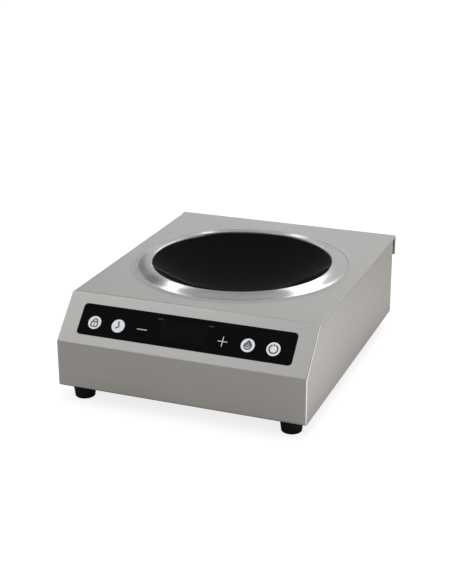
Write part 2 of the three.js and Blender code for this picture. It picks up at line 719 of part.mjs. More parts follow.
function trimRing() {
  const sight = SIGHT_RADIUS;
  const ringRadius = sight + RING_BAND;
  const lipInside = sphereHeight(GLASS_RADIUS, sight) + 1.3 * GAP;
  const lipOutside = sphereHeight(GLASS_RADIUS, sight + RING_SHEET) + 1.3 * GAP;
  const crest = TOP + RING_CREST;
  const over = ringFace(ringRadius, TOP + GAP + 0.6, sight + 2.2, crest);
  const beneath = ringFace(ringRadius - RING_FOOT, TOP + GAP, sight + 2.6, crest - RING_SHEET);
  const section = closed([
    [ringRadius, TOP + GAP],
    ...over,
    [sight + 0.4, crest - 0.4],
    [sight, crest - 1.3],
    [sight, lipInside],
    [sight + RING_SHEET, lipOutside],
    [sight + RING_SHEET + 0.3, crest - RING_SHEET - 0.2],
    ...beneath.reverse(),
  ]);
  place('trim_ring', turned(section, 56), 'polished', ringAxis);
}

function gasketAndSupport() {
  const gasketTop = GLASS_UNDER + GAP;
  const gasketUnder = gasketTop + GASKET_THICKNESS;
  const outer = GLASS_EDGE_ANGLE - THREE.MathUtils.degToRad(0.8);
  const inner = outer - THREE.MathUtils.degToRad(GASKET_BAND);
  const gasket = closed([
    ...arcOnSphere(gasketTop, inner, outer, 1),
    ...arcOnSphere(gasketUnder, outer, inner, 1),
  ]);
  place('bowl_gasket', turned(gasket, 40), 'silicone', ringAxis);

  const seatTop = gasketUnder + GAP;
  const seatUnder = seatTop + SUPPORT_SHEET;
  const flangeTop = TOP - SHEET - GAP;
  const flangeUnder = flangeTop - SUPPORT_SHEET;
  const topAngle = Math.acos((SPHERE_Z - flangeTop) / seatTop);
  const underAngle = Math.acos((SPHERE_Z - flangeUnder) / seatUnder);
  const reach = CASING_HOLE_RADIUS + SUPPORT_FLANGE;
  const seat = closed([
    ...arcOnSphere(seatTop, inner, topAngle, 1),
    [reach, flangeTop],
    [reach, flangeUnder],
    ...arcOnSphere(seatUnder, underAngle, inner, 1),
  ]);
  place('bowl_support_ring', turned(seat, 40), 'steel', ringAxis);
}

// ---------------------------------------------------------------------------
// Coil stack
// ---------------------------------------------------------------------------

function insulationPad() {
  const inner = Math.asin((SENSOR_RADIUS + 2) / INSULATION_TOP);
  const outer = Math.asin(INSULATION_RADIUS / INSULATION_TOP);
  const section = closed([
    ...arcOnSphere(INSULATION_TOP, inner, outer, 4),
    ...arcOnSphere(INSULATION_UNDER, outer, inner, 4),
  ]);
  place('insulation_pad', turned(section, 32), 'mica', ringAxis);
}

// The middle line of the winding: a spiral that lies on a sphere
class DishedSpiral extends THREE.Curve {
  getPoint(t, target = new THREE.Vector3()) {
    const radius = COIL_INNER_RADIUS + (COIL_OUTER_RADIUS - COIL_INNER_RADIUS) * t;
    const angle = 2 * Math.PI * COIL_TURNS * t;
    const height = sphereHeight(COIL_SPHERE, radius);
    return target.set(radius * Math.cos(angle), radius * Math.sin(angle), height);
  }

  getPointAt(u, target) {
    const [inner, outer] = [COIL_INNER_RADIUS, COIL_OUTER_RADIUS];
    const radius = Math.sqrt(inner ** 2 + (outer ** 2 - inner ** 2) * u);
    return this.getPoint((radius - inner) / (outer - inner), target);
  }
}

function wire(curve, radius, steps, sides) {
  const section = [];
  for (let i = 0; i < sides; i += 1) {
    const angle = (2 * Math.PI * (i + 0.5)) / sides;
    section.push(new THREE.Vector2(radius * Math.cos(angle), radius * Math.sin(angle)));
  }
  return new THREE.ExtrudeGeometry(new THREE.Shape(section), {
    steps,
    bevelEnabled: false,
    extrudePath: curve,
  });
}

function inductionCoil() {
  const winding = wire(new DishedSpiral(), LITZ_RADIUS, COIL_TURNS * COIL_STEPS, 5);
  place('induction_coil', winding, 'copper', ringAxis);
}

// Each lead starts under an end of the winding and runs down to the power board
function coilLead(name, fromRadius, toX) {
  const from = sphereHeight(COIL_SPHERE, fromRadius) - LITZ_RADIUS - STACK_CLEARANCE;
  const curve = new THREE.CatmullRomCurve3([
    new THREE.Vector3(fromRadius, 0, from),
    new THREE.Vector3(fromRadius, 0, from - 12),
    new THREE.Vector3((fromRadius + toX) / 2, 0, (from + BOARD_TOP) / 2),
    new THREE.Vector3(toX, 0, BOARD_TOP + 12),
    new THREE.Vector3(toX, 0, BOARD_TOP + GAP),
  ]);
  place(name, wire(curve, LITZ_RADIUS, 10, 6), 'copper', ringAxis);
}

function coilFormer() {
  const inner = Math.asin(FORMER_HOLE_RADIUS / FORMER_TOP);
  const outer = Math.asin(FORMER_RADIUS / FORMER_TOP);
  const flangeUnder = FORMER_RIM_Z - FORMER_THICKNESS;
  const underAngle = Math.acos((SPHERE_Z - flangeUnder) / FORMER_UNDER);
  const reach = FORMER_RADIUS + FORMER_FLANGE;
  const section = closed([
    ...arcOnSphere(FORMER_TOP, inner, outer, 4),
    [reach, FORMER_RIM_Z],
    [reach, flangeUnder],
    ...arcOnSphere(FORMER_UNDER, underAngle, inner, 4),
  ]);
  const holes = [COIL_INNER_RADIUS, COIL_OUTER_RADIUS].map((radius) => {
    const hole = circle(LITZ_RADIUS + 3 * GAP, radius, 0);
    return alongZ(hole, FRAME_TOP - 40, FORMER_RIM_Z + 5, 4);
  });
  place('coil_former', cutBy(turned(section, 32), holes), 'former', ringAxis);
}

function ferriteBars() {
  for (let i = 0; i < FERRITE_COUNT; i += 1) {
    const bar = new THREE.BoxGeometry(FERRITE_LENGTH, FERRITE_WIDTH, FERRITE_THICKNESS);
    const mesh = place(`ferrite_bar_${i + 1}`, bar, 'ferrite', ringAxis);
    const angle = (2 * Math.PI * (i + 0.5)) / FERRITE_COUNT;
    const outward = FERRITE_MIDDLE_RADIUS;
    mesh.position.set(
      outward * Math.cos(angle),
      outward * Math.sin(angle),
      SPHERE_Z - FERRITE_SPHERE * Math.cos(FERRITE_LEAN),
    );
    mesh.rotation.set(0, -FERRITE_LEAN, angle, 'ZYX');
  }
}

function coilFrame() {
  const outer = FRAME_RADIUS;
  const hoop = circle(outer);
  hoop.holes.push(circle(outer - FRAME_RING_WIDTH));
  const pieces = [alongZ(hoop, FRAME_TOP - FRAME_SHEET, FRAME_TOP, 10)];
  const legUnder = PLATE_TOP + GAP;
  const legHeight = FRAME_TOP - 0.5 - legUnder;
  for (let i = 0; i < 4; i += 1) {
    const tabX = LEG_RADIUS - FRAME_TAB / 2;
    const leg = block(FRAME_SHEET, FRAME_LEG_WIDTH, legHeight, LEG_RADIUS, 0, legUnder);
    const tab = block(FRAME_TAB, FRAME_LEG_WIDTH, FRAME_SHEET, tabX, 0, legUnder);
    pieces.push(leg.rotateZ((i * Math.PI) / 2), tab.rotateZ((i * Math.PI) / 2));
  }
  place('coil_frame', joined(pieces), 'aluminium', ringAxis);
}

// The sensor touches the glass from below, in a holder that hangs in the former's middle hole
function temperatureSensor() {
  const glassUnder = SPHERE_Z - GLASS_UNDER;
  const formerUnder = sphereHeight(FORMER_UNDER, FORMER_HOLE_RADIUS);
  const flangeTop = formerUnder - 1.3 * GAP;
  const holderTop = glassUnder - 6;
  const shaft = SENSOR_RADIUS * 0.7;
  const sensor = [
    [0, flangeTop - 3],
    [shaft, flangeTop - 3],
    [shaft, holderTop + GAP],
    [SENSOR_RADIUS, holderTop + GAP],
    [SENSOR_RADIUS, glassUnder - 1.5],
    [SENSOR_RADIUS - 1, glassUnder - GAP],
    [0, glassUnder - GAP],
  ];
  place('temperature_sensor', turned(sensor, 16), 'ceramic', ringAxis);
  const tube = FORMER_HOLE_RADIUS - GAP;
  const holder = [
    [shaft + GAP, holderTop],
    [tube, holderTop],
    [tube, flangeTop],
    [tube + 4, flangeTop],
    [tube + 4, flangeTop - 2],
    [shaft + GAP, flangeTop - 2],
    [shaft + GAP, holderTop],
  ];
  place('sensor_holder', turned(holder, 16), 'blackPlastic', ringAxis);
}

// ---------------------------------------------------------------------------
// Power electronics
// ---------------------------------------------------------------------------

function heatSink() {
  const { depth, base, fins, fin } = HEAT_SINK;
  const pitch = (HEAT_SINK_WIDTH - fin) / (fins - 1);
  const left = HEAT_SINK_X - HEAT_SINK_WIDTH / 2;
  const top = HEAT_SINK_UNDER + HEAT_SINK_HEIGHT;
  const outline = [new THREE.Vector2(left, HEAT_SINK_UNDER)];
  outline.push(new THREE.Vector2(left + HEAT_SINK_WIDTH, HEAT_SINK_UNDER));
  for (let i = fins - 1; i >= 0; i -= 1) {
    const near = left + i * pitch;
    const far = near + fin;
    if (i < fins - 1) {
      outline.push(new THREE.Vector2(far, HEAT_SINK_UNDER + base));
    }
    outline.push(new THREE.Vector2(far, top));
    outline.push(new THREE.Vector2(near, top));
    if (i > 0) {
      outline.push(new THREE.Vector2(near, HEAT_SINK_UNDER + base));
    }
  }
  const solid = alongY(new THREE.Shape(outline), -depth / 2, depth / 2);
  place('heat_sink', solid, 'aluminium', ringAxis);
}

function onBoard(name, size, x, y, look) {
  place(name, block(size[0], size[1], size[2], x, y, DEVICE_UNDER), look, ringAxis);
}

function powerBoard() {
  const halfWidth = BOARD_HALF_WIDTH;
  const halfDepth = BOARD_HALF_DEPTH;
  const board = block(2 * halfWidth, 2 * halfDepth, BOARD_THICKNESS, 0, 0, BOARD_UNDER);
  place('power_board', board, 'circuitBoard', ringAxis);
  const transistor = [16, 21, DEVICE_HEIGHT];
  onBoard('power_transistor_left', transistor, HEAT_SINK_X - 20, -34, 'blackPlastic');
  onBoard('power_transistor_right', transistor, HEAT_SINK_X + 10, -34, 'blackPlastic');
  onBoard('bridge_rectifier', [30, 20, DEVICE_HEIGHT], HEAT_SINK_X - 2, 30, 'blackPlastic');
  onBoard('dc_link_capacitor', [32, 22, 28], halfWidth - 24, 16 - halfDepth, 'capacitor');
  onBoard('resonant_capacitor', [42, 24, 28], halfWidth - 24, 47 - halfDepth, 'capacitor');
  heatSink();
}

function filterChoke() {
  const section = [
    [9, 0],
    [20, 0],
    [22, 2],
    [22, 14],
    [20, 16],
    [9, 16],
    [7, 14],
    [7, 2],
    [9, 0],
  ];
  const choke = place('filter_choke', turned(section, 16), 'copper', ringAxis);
  choke.position.set(BOARD_HALF_WIDTH - 35, BOARD_HALF_DEPTH - 34, DEVICE_UNDER);
}

function terminalBlock() {
  const { fromRear, width, depth, height } = TERMINAL;
  const x = TERMINAL_X;
  const y = REAR - fromRear;
  const body = block(width, depth, height, x, y, PLATE_TOP + GAP);
  const pockets = [-1, 0, 1].map((i) => {
    const pocket = circle(width / 12, x + (i * width) / 3.4, y);
    return alongZ(pocket, PLATE_TOP + GAP + height / 2, PLATE_TOP + height + 1, 3);
  });
  place('terminal_block', cutBy(body, pockets), 'ceramic');
}

function cableGland() {
  const { height, radius, thread, bore, reach, inside } = GLAND;
  const x = GLAND_X;
  const seat = PANEL_OUTSIDE + GAP;
  const body = [
    [bore, -(PLATE_SHEET + 2 * GAP + inside)],
    [thread, -(PLATE_SHEET + 2 * GAP + inside)],
    [thread, 0],
    [radius, 0],
    [radius, reach - 4],
    [radius - 3.5, reach],
    [bore, reach],
    [bore, -(PLATE_SHEET + 2 * GAP + inside)],
  ];
  const gland = place('cable_gland', turned(body, 16), 'blackPlastic');
  gland.position.set(x, seat, UNDERSIDE + height);
  gland.rotation.x = -Math.PI / 2;

  const hexagon = new THREE.Shape();
  const corner = LOCKNUT.width / Math.sqrt(3);
  for (let i = 0; i < 6; i += 1) {
    const angle = (i * Math.PI) / 3;
    hexagon[i ? 'lineTo' : 'moveTo'](corner * Math.cos(angle), corner * Math.sin(angle));
  }
  hexagon.holes.push(circle(thread + GAP));
  const to = PANEL_INSIDE - GAP;
  const nut = alongY(hexagon, to - LOCKNUT.thickness, to, 8);
  place('gland_locknut', nut, 'blackPlastic').position.set(x, 0, UNDERSIDE + height);
}

// ---------------------------------------------------------------------------
// Fans and their duct
// ---------------------------------------------------------------------------

function fanFrame(name, x) {
  const outer = rectangle(FAN_SIZE, FAN_SIZE, 4);
  outer.holes.push(circle(FAN_BORE_RADIUS));
  const hub = circle(FAN_HUB_RADIUS);
  hub.holes.push(circle(FAN_SHAFT_RADIUS + GAP));
  const pieces = [alongZ(outer, 0, FAN_THICKNESS, 8), alongZ(hub, 0, FAN_SPIDER, 5)];
  const armLength = FAN_BORE_RADIUS - FAN_HUB_RADIUS + 3;
  for (let i = 0; i < 4; i += 1) {
    const middle = FAN_HUB_RADIUS - 1 + armLength / 2;
    const arm = block(armLength, 4, FAN_SPIDER - 1, middle, 0, 0);
    pieces.push(arm.rotateZ(((i + 0.5) * Math.PI) / 2));
  }
  place(name, joined(pieces), 'blackPlastic').position.set(x, FAN_Y, FAN_UNDER);
}

function fanRotor(name, x) {
  const under = FAN_SPIDER + 2 * GAP;
  const over = FAN_THICKNESS - 1;
  const hub = turned(
    [
      [0, 1],
      [FAN_SHAFT_RADIUS, 1],
      [FAN_SHAFT_RADIUS, under],
      [FAN_HUB_RADIUS, under],
      [FAN_HUB_RADIUS, over - 1],
      [FAN_HUB_RADIUS - 1, over],
      [0, over],
    ],
    20,
  );
  const pitch = THREE.MathUtils.degToRad(36);
  const chord = 20;
  const tip = FAN_BORE_RADIUS - FAN_TIP_CLEARANCE;
  const tipReach = Math.sqrt(tip ** 2 - ((chord / 2) * Math.cos(pitch)) ** 2);
  const root = FAN_HUB_RADIUS - 3;
  const blades = [];
  for (let i = 0; i < FAN_BLADES; i += 1) {
    const blade = new THREE.BoxGeometry(tipReach - root, chord, 1.4);
    blade.rotateX(pitch);
    blade.translate((tipReach + root) / 2, 0, (under + over) / 2);
    blades.push(blade.rotateZ((2 * Math.PI * i) / FAN_BLADES));
  }
  place(name, joined([hub, ...blades]), 'blackPlastic').position.set(x, FAN_Y, FAN_UNDER);
}

// A hood that sits on both fans and is open towards the heat sink
function airDuct() {
  const width = 2 * FAN_X + FAN_SIZE;
  const from = FAN_Y - FAN_SIZE / 2;
  const to = FAN_Y + FAN_SIZE / 2;
  const under = FAN_TOP + GAP;
  const outer = block(width, FAN_SIZE, DUCT_HEIGHT, 0, FAN_Y, under);
  const depth = to + 1 - (from + DUCT_WALL);
  const hollow = block(
    width - 2 * DUCT_WALL,
    depth,
    DUCT_HEIGHT,
    0,
    from + DUCT_WALL + depth / 2,
    under - DUCT_WALL,
  );
  place('air_duct', cutBy(outer, [hollow]), 'blackPlastic');
}

// ---------------------------------------------------------------------------
// Control strip
// ---------------------------------------------------------------------------

function fasciaOutline(growth) {
  const width = FASCIA_WIDTH + 2 * growth;
  const height = FASCIA_HEIGHT + 2 * growth;
  return rectangle(width, height, FASCIA_CORNER + growth, 0, FASCIA_Y);
}

function keyRadius(x) {
  return Math.abs(x - KEY_SHIFT) < SIGN_KEY_X + 1 ? SIGN_KEY_RADIUS : KEY_RADIUS;
}

function controlFascia() {
  const front = alongZ(fasciaOutline(0), FASCIA_FLANGE_TOP, 0, 4);
  const back = alongZ(fasciaOutline(FASCIA_LAP), FASCIA_BACK, FASCIA_FLANGE_TOP, 4);
  const posts = [];
  for (const x of [-1, 1]) {
    for (const y of [-1, 1]) {
      const postX = x * (CONTROL_BOARD.width / 2 - 5);
      const postY = FASCIA_Y + y * (CONTROL_BOARD.height / 2 - 4);
      const post = circle(2.5, postX, postY);
      posts.push(alongZ(post, CONTROL_BOARD_TOP + GAP, FASCIA_BACK + 0.5, 3));
    }
  }
  const holes = KEY_XS.map((x) => {
    const hole = circle(keyRadius(x) + KEY_CLEARANCE, x, KEY_Y);
    return alongZ(hole, FASCIA_BACK - 1, 1, 8);
  });
  place('control_fascia', cutBy(joined([front, back, ...posts]), holes), 'fascia', slope);
}

function key(name, x, look) {
  const radius = keyRadius(x);
  const flange = radius + KEY_FLANGE;
  const flangeUnder = KEY_FLANGE_TOP - KEY_FLANGE_THICKNESS;
  const cap = turned(
    [
      [0, KEY_RISE],
      [radius - 0.6, KEY_RISE],
      [radius, KEY_RISE - 0.5],
      [radius, KEY_FLANGE_TOP],
      [flange, KEY_FLANGE_TOP],
      [flange, flangeUnder],
      [KEY_STEM_RADIUS, flangeUnder],
      [KEY_STEM_RADIUS, KEY_BOTTOM],
      [0, KEY_BOTTOM],
    ],
    18,
  );
  place(`key_${name}`, cap, look, slope).position.set(x, KEY_Y, 0);
}

function keys() {
  const [lock, timer, minus, plus, heat, power] = KEY_XS;
  key('lock', lock, 'white');
  key('timer', timer, 'white');
  key('minus', minus, 'fascia');
  key('plus', plus, 'fascia');
  key('heat', heat, 'white');
  key('power', power, 'white');
}

function controlBoard() {
  const { width, height, thickness } = CONTROL_BOARD;
  const board = block(width, height, thickness, 0, FASCIA_Y, CONTROL_BOARD_BACK);
  const switches = [];
  for (const x of KEY_XS) {
    const { body, plunger } = SWITCH;
    const sunk = CONTROL_BOARD_TOP - 0.5;
    switches.push(block(body, body, SWITCH.height + 0.5, x, KEY_Y, sunk));
    switches.push(alongZ(circle(plunger, x, KEY_Y), sunk, SWITCH_TOP, 3));
  }
  place('control_board', joined([board, ...switches]), 'circuitBoard', slope);
  const under = CONTROL_BOARD_TOP + GAP;
  const display = block(DISPLAY.width, DISPLAY.height, FASCIA_BACK - GAP - under, KEY_SHIFT, KEY_Y, under);
  place('display_module', display, 'blackPlastic', slope);
  const buzzer = alongZ(circle(BUZZER.radius, BUZZER.x + KEY_SHIFT, KEY_Y), under, under + BUZZER.height, 4);
  place('buzzer', buzzer, 'blackPlastic', slope);
}

// From the back of the control board, over the duct and down to the power board's front edge
function ribbonCable() {
  const start = new THREE.Vector3(0, FASCIA_Y, CONTROL_BOARD_BACK - GAP).applyMatrix4(slope.matrix);
  const inward = new THREE.Vector3(0, FASCIA_Y, CONTROL_BOARD_BACK - 12).applyMatrix4(slope.matrix);
  const endY = RING_Y - BOARD_HALF_DEPTH + 5;
  const overDuct = DUCT_TOP + 5;
  const points = [
    new THREE.Vector2(start.y, start.z),
    new THREE.Vector2(inward.y, inward.z),
    new THREE.Vector2(FAN_Y, overDuct),
    new THREE.Vector2(FAN_Y + FAN_SIZE / 2 + 5, overDuct),
    new THREE.Vector2(endY, BOARD_TOP + 20),
    new THREE.Vector2(endY, BOARD_TOP + GAP),
  ];
  const strip = stripShape(points, RIBBON.thickness, 24);
  const from = BOARD_HALF_WIDTH - RIBBON.fromEdge - RIBBON.width / 2;
  place('ribbon_cable', alongX(strip, from, from + RIBBON.width), 'cable');
}

// ---------------------------------------------------------------------------
// Assembly
// ---------------------------------------------------------------------------

outerCasing();
basePlate();
rearPanel();
rearScrews();
feet();
trimRing();
glassPlate();
gasketAndSupport();
insulationPad();
inductionCoil();
coilLead('coil_lead_inner', COIL_INNER_RADIUS, COIL_INNER_RADIUS - 4);
coilLead('coil_lead_outer', COIL_OUTER_RADIUS, BOARD_HALF_WIDTH - 8);
coilFormer();
ferriteBars();
coilFrame();
temperatureSensor();
powerBoard();
filterChoke();
terminalBlock();
cableGland();
fanFrame('fan_frame_left', -FAN_X);
fanFrame('fan_frame_right', FAN_X);
fanRotor('fan_rotor_left', -FAN_X);
fanRotor('fan_rotor_right', FAN_X);
airDuct();
controlFascia();
keys();
controlBoard();
ribbonCable();

export default hob;
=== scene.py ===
import json
from math import asin, atan2, cos, hypot, pi, radians, sin, sqrt, tan

import bmesh
import bpy
from bpy.props import FloatProperty, FloatVectorProperty, IntProperty, PointerProperty
from mathutils import Matrix, Quaternion, Vector


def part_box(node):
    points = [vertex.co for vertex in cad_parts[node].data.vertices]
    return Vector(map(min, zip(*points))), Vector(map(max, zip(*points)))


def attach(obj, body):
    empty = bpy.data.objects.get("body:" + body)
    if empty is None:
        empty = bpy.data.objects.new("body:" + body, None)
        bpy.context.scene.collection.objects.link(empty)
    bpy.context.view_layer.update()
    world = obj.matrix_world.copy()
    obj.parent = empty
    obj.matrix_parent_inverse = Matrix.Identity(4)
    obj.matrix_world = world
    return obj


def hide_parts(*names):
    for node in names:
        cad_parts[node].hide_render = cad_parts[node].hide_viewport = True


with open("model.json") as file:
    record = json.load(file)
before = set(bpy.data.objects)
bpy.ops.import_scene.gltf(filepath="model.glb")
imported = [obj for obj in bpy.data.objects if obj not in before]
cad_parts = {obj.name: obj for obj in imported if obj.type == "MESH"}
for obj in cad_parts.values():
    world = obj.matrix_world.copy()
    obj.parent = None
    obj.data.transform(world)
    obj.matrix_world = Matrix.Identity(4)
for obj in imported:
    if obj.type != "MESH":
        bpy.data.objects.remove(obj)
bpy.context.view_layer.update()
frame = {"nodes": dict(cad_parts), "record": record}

bl_info = {
    "name": "Induction Hob",
    "version": (1, 0, 0),
    "blender": (4, 5, 0),
    "location": "View3D > Sidebar > Hob",
    "description": "Builds the finished look of a countertop induction hob round its frame",
    "category": "Object",
}

MM = 0.001
GAP = 0.3 * MM  # between pieces that fit together
HOB = "hob"
SHARP_ANGLE = 40  # degrees above which an edge stays sharp
TO_REAR = Matrix.Rotation(-pi / 2, 4, "X")  # turns +Z to +Y

CASING_LOW, CASING_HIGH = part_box("outer_casing")
PANEL_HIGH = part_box("rear_panel")[1]
RING_LOW, RING_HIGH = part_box("trim_ring")
RING_AXIS = Vector(((RING_LOW.x + RING_HIGH.x) / 2, (RING_LOW.y + RING_HIGH.y) / 2, 0))
RING_OUTER = RING_HIGH.x - RING_AXIS.x
GLASS_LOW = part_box("glass_bowl")[0]
KEYS = ("key_lock", "key_timer", "key_minus", "key_plus", "key_heat", "key_power")
SIGN_KEYS = ("key_minus", "key_plus")
FEET = ("front_left", "front_right", "rear_left", "rear_right")
REAR_SCREWS = ("low_left", "low_right", "high_left", "high_right")


def colour_property(name, description, default):
    """A linear colour that the user can change"""
    return FloatVectorProperty(
        name=name, description=description, default=default, subtype="COLOR", size=3, min=0, max=1
    )


def length_property(name, description, millimetres):
    """A length that the user can change, stored in metres"""
    return FloatProperty(
        name=name,
        description=description,
        default=millimetres * MM,
        min=0,
        subtype="DISTANCE",
        unit="LENGTH",
        precision=5,
    )


class HobCasingSettings(bpy.types.PropertyGroup):
    """Sizes and colours of the folded casing"""

    sheet: length_property("Sheet", "Thickness of the folded sheet", 1.2)
    bend: length_property("Bend Radius", "Outer radius of the bends across the casing", 3)
    edge: length_property("Edge Radius", "Radius of the ground edges of slope and front", 1.6)
    fold: length_property("Fold Radius", "Radius where the top folds into the sides", 4.5)
    slope_bend: length_property("Slope Bend Radius", "Radius between top and slope", 5.5)
    slope_run: length_property("Slope Run", "How far back the slope reaches", 50.5)
    front_height: length_property("Front Height", "From the underside to the slope", 63)
    lip_drop: length_property("Lip Drop", "Height of the lip behind the rear wall", 30)
    bottom_flange: length_property("Bottom Flange", "Width of the flange underneath", 34)
    rear_flange: length_property("Rear Flange", "Width of the flange behind", 14)
    hole: length_property("Hole Radius", "Radius of the hole for the glass plate", 132)
    collar: length_property("Collar Radius", "Outer radius of the pressed collar", 157)
    collar_rise: length_property("Collar Rise", "Height of the pressed collar", 0.7)
    steel: colour_property("Steel", "Colour of the brushed sheet", (0.60, 0.597, 0.58))
    # The ground edges are smoother than the sheet; their lighter colour is a painted highlight along the
    # edges.
    edge_steel: colour_property("Edge Steel", "Colour of the ground edges", (0.84, 0.83, 0.81))


class HobGlassSettings(bpy.types.PropertyGroup):
    """Sizes and colours of the glass plate and its ring"""

    sphere: length_property("Glass Sphere", "Radius that the dished glass follows", 195)
    thickness: length_property("Glass Thickness", "Thickness of the glass plate", 4)
    sight: length_property("Sight Radius", "Where the ring's lip meets the glass", 124.3)
    under_ring: length_property("Glass Under Ring", "How far the glass reaches under the ring", 1.9)
    segments: IntProperty(
        name="Segments",
        description="Sides of everything turned about the ring's axis",
        default=144,
        min=48,
        max=288,
    )
    glass: colour_property("Glass", "Colour of the glass-ceramic", (0.004, 0.004, 0.0042))
    ring: colour_property("Ring", "Colour of the spun steel", (0.485, 0.485, 0.475))


class HobControlSettings(bpy.types.PropertyGroup):
    """Sizes and colours of the control strip"""

    width: length_property("Strip Width", "Width of the black strip", 292)
    height: length_property("Strip Height", "Height of the black strip along the slope", 43.2)
    corner: length_property("Strip Corner", "Radius of its corners", 5)
    middle: length_property("Strip Middle", "Up the slope from the front bend", 35.6)
    key_radius: length_property("Key Radius", "Radius of the round keys", 10)
    disc_radius: length_property("Disc Radius", "Radius of the white disc on a key", 9)
    sign_key_radius: length_property("Sign Key Radius", "Radius of the plus and minus keys", 8)
    clearance: length_property("Key Clearance", "Gap round each key", 0.4)
    strip: colour_property("Strip", "Colour of the acrylic strip", (0.004, 0.004, 0.0045))
    key: colour_property("Key", "Colour of the white keys", (0.78, 0.83, 0.85))
    ink: colour_property("Ink", "Colour of the signs on white keys", (0.10, 0.11, 0.12))
    sign: colour_property("Sign", "Colour of the plus and minus signs", (0.55, 0.57, 0.58))


# ---------------------------------------------------------------------------
# Meshes
# ---------------------------------------------------------------------------


def even_angles(count):
    """Angles that share a full turn evenly"""
    return [2 * pi * i / count for i in range(count)]


def polar(radius, angle, height):
    """A point by its radius and angle about +Z"""
    return Vector((radius * cos(angle), radius * sin(angle), height))


def circle_loop(radius, height, count, lobes=0, depth=0.0):
    """Points of a circle at one height; lobes pull it in between them"""
    points = []
    for angle in even_angles(count):
        points.append(polar(radius - depth * (0.5 - 0.5 * cos(lobes * angle)), angle, height))
    return points


def hexagon_loop(across, height, count):
    """Points of a hexagon at even angles"""
    points = []
    for angle in even_angles(count):
        turn = (angle + pi / 6) % (pi / 3) - pi / 6
        points.append(polar(across / 2 / cos(turn), angle, height))
    return points


def cross_loop(reach, width, height, count):
    """Points of a cross recess at even angles"""
    points = []
    for angle in even_angles(count):
        near, far = sorted((abs(cos(angle)), abs(sin(angle))))
        along = reach / far
        beside = width / 2 / near if near > 1e-6 else along
        points.append(polar(max(min(along, beside), width / 2 / far), angle, height))
    return points


def rounded_rectangle(width, height, radius, middle=(0.0, 0.0), steps=8):
    """The right and left halves of the outline, each from its upper to its lower middle point"""
    right = [Vector((0, height / 2))]
    for k in range(steps + 1):
        angle = pi / 2 - pi / 2 * k / steps
        x = width / 2 - radius + radius * cos(angle)
        right.append(Vector((x, height / 2 - radius + radius * sin(angle))))
    right += [Vector((p.x, -p.y)) for p in reversed(right)]
    right = [p + Vector(middle) for p in right]
    left = [Vector((2 * middle[0] - p.x, p.y)) for p in right]
    return right, left


def whole_outline(right, left):
    """One closed outline from its two halves"""
    return right + left[::-1][1:-1]


def joined(bm, rows, cyclic=False):
    """Faces between successive rows of vertices of equal count"""
    pairs = list(zip(rows, rows[1:]))
    if cyclic:
        pairs.append((rows[-1], rows[0]))
    for low, high in pairs:
        for i in range(len(low)):
            j = (i + 1) % len(low)
            bm.faces.new((low[i], low[j], high[j], high[i]))


def loft(bm, loops, cap_first=False, cap_last=False, cyclic=False):
    """Faces between successive loops of points of equal count"""
    rows = [[bm.verts.new(p) for p in loop] for loop in loops]
    joined(bm, rows, cyclic)
    if cap_first:
        bm.faces.new(rows[0][::-1])
    if cap_last:
        bm.faces.new(rows[-1])
    return rows


def turned(bm, profile, count, capped=True):
    """A profile of (radius, height) points turned about +Z, capped at its ends or closed on itself"""
    loops = [circle_loop(radius, height, count) for radius, height in profile]
    loft(bm, loops, capped, capped, not capped)


def parabola(start, middle, end, steps):
    """Points from start to end, pulled towards the middle point"""
    points = []
    for k in range(steps + 1):
        t = k / steps
        points.append(start * (1 - t) ** 2 + middle * 2 * t * (1 - t) + end * t**2)
    return points


def rounded_profile(points):
    """An open profile of (radius, height, fillet) points with its corners rounded"""
    result = []
    for i, (x, y, fillet) in enumerate(points):
        here = Vector((x, y))
        if i in (0, len(points) - 1) or not fillet:
            result.append((x, y))
            continue
        before = Vector(points[i - 1][:2]) - here
        after = Vector(points[i + 1][:2]) - here
        half = before.angle(after) / 2
        reach = min(fillet / tan(half), before.length * 0.49, after.length * 0.49)
        start = here + before.normalized() * reach
        end = here + after.normalized() * reach
        result += [tuple(p) for p in parabola(start, here, end, 4)]
    return result


def finished(name, mesh, body, nodes=(), normal_weight=90):
    """Makes a mesh a named piece on its body, in place of CAD nodes if any are given"""
    mesh.name = name
    mesh.shade_smooth()
    mesh.set_sharp_from_angle(angle=radians(SHARP_ANGLE))
    obj = bpy.data.objects.new(name, mesh)
    bpy.context.scene.collection.objects.link(obj)
    if normal_weight:
        normals = obj.modifiers.new("Weighted Normals", "WEIGHTED_NORMAL")
        normals.keep_sharp = True
        normals.weight = normal_weight
    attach(obj, body)
    if nodes:
        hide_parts(*nodes)
    return obj


def piece(name, bm, material, body, nodes=(), matrix=None, normal_weight=90):
    """Turns a mesh in hand into a finished piece"""
    bmesh.ops.recalc_face_normals(bm, faces=bm.faces)
    if bm.calc_volume(signed=True) < 0:
        bmesh.ops.reverse_faces(bm, faces=bm.faces)
    if matrix is not None:
        bmesh.ops.transform(bm, matrix=matrix, verts=bm.verts)
    mesh = bpy.data.meshes.new(name)
    bm.to_mesh(mesh)
    bm.free()
    mesh.materials.append(material)
    return finished(name, mesh, body, nodes, normal_weight)


def taken_mesh(helper):
    """The final mesh of a helper object, which is then removed"""
    bpy.context.scene.collection.objects.link(helper)
    evaluated = helper.evaluated_get(bpy.context.evaluated_depsgraph_get())
    mesh = bpy.data.meshes.new_from_object(evaluated)
    bpy.data.objects.remove(helper)
    return mesh


def stroke_mesh(bm, points, radius, closed=False):
    """Adds a round stroke along points to a mesh"""
    curve = bpy.data.curves.new("stroke", "CURVE")
    curve.dimensions = "3D"
    curve.bevel_depth = radius
    curve.bevel_resolution = 3
    curve.use_fill_caps = True
    spline = curve.splines.new("POLY")
    spline.points.add(len(points) - 1)
    for target, p in zip(spline.points, points):
        target.co = (*p, 1)
    spline.use_cyclic_u = closed
    mesh = taken_mesh(bpy.data.objects.new("stroke", curve))
    bm.from_mesh(mesh)
    bpy.data.curves.remove(curve)
    bpy.data.meshes.remove(mesh)


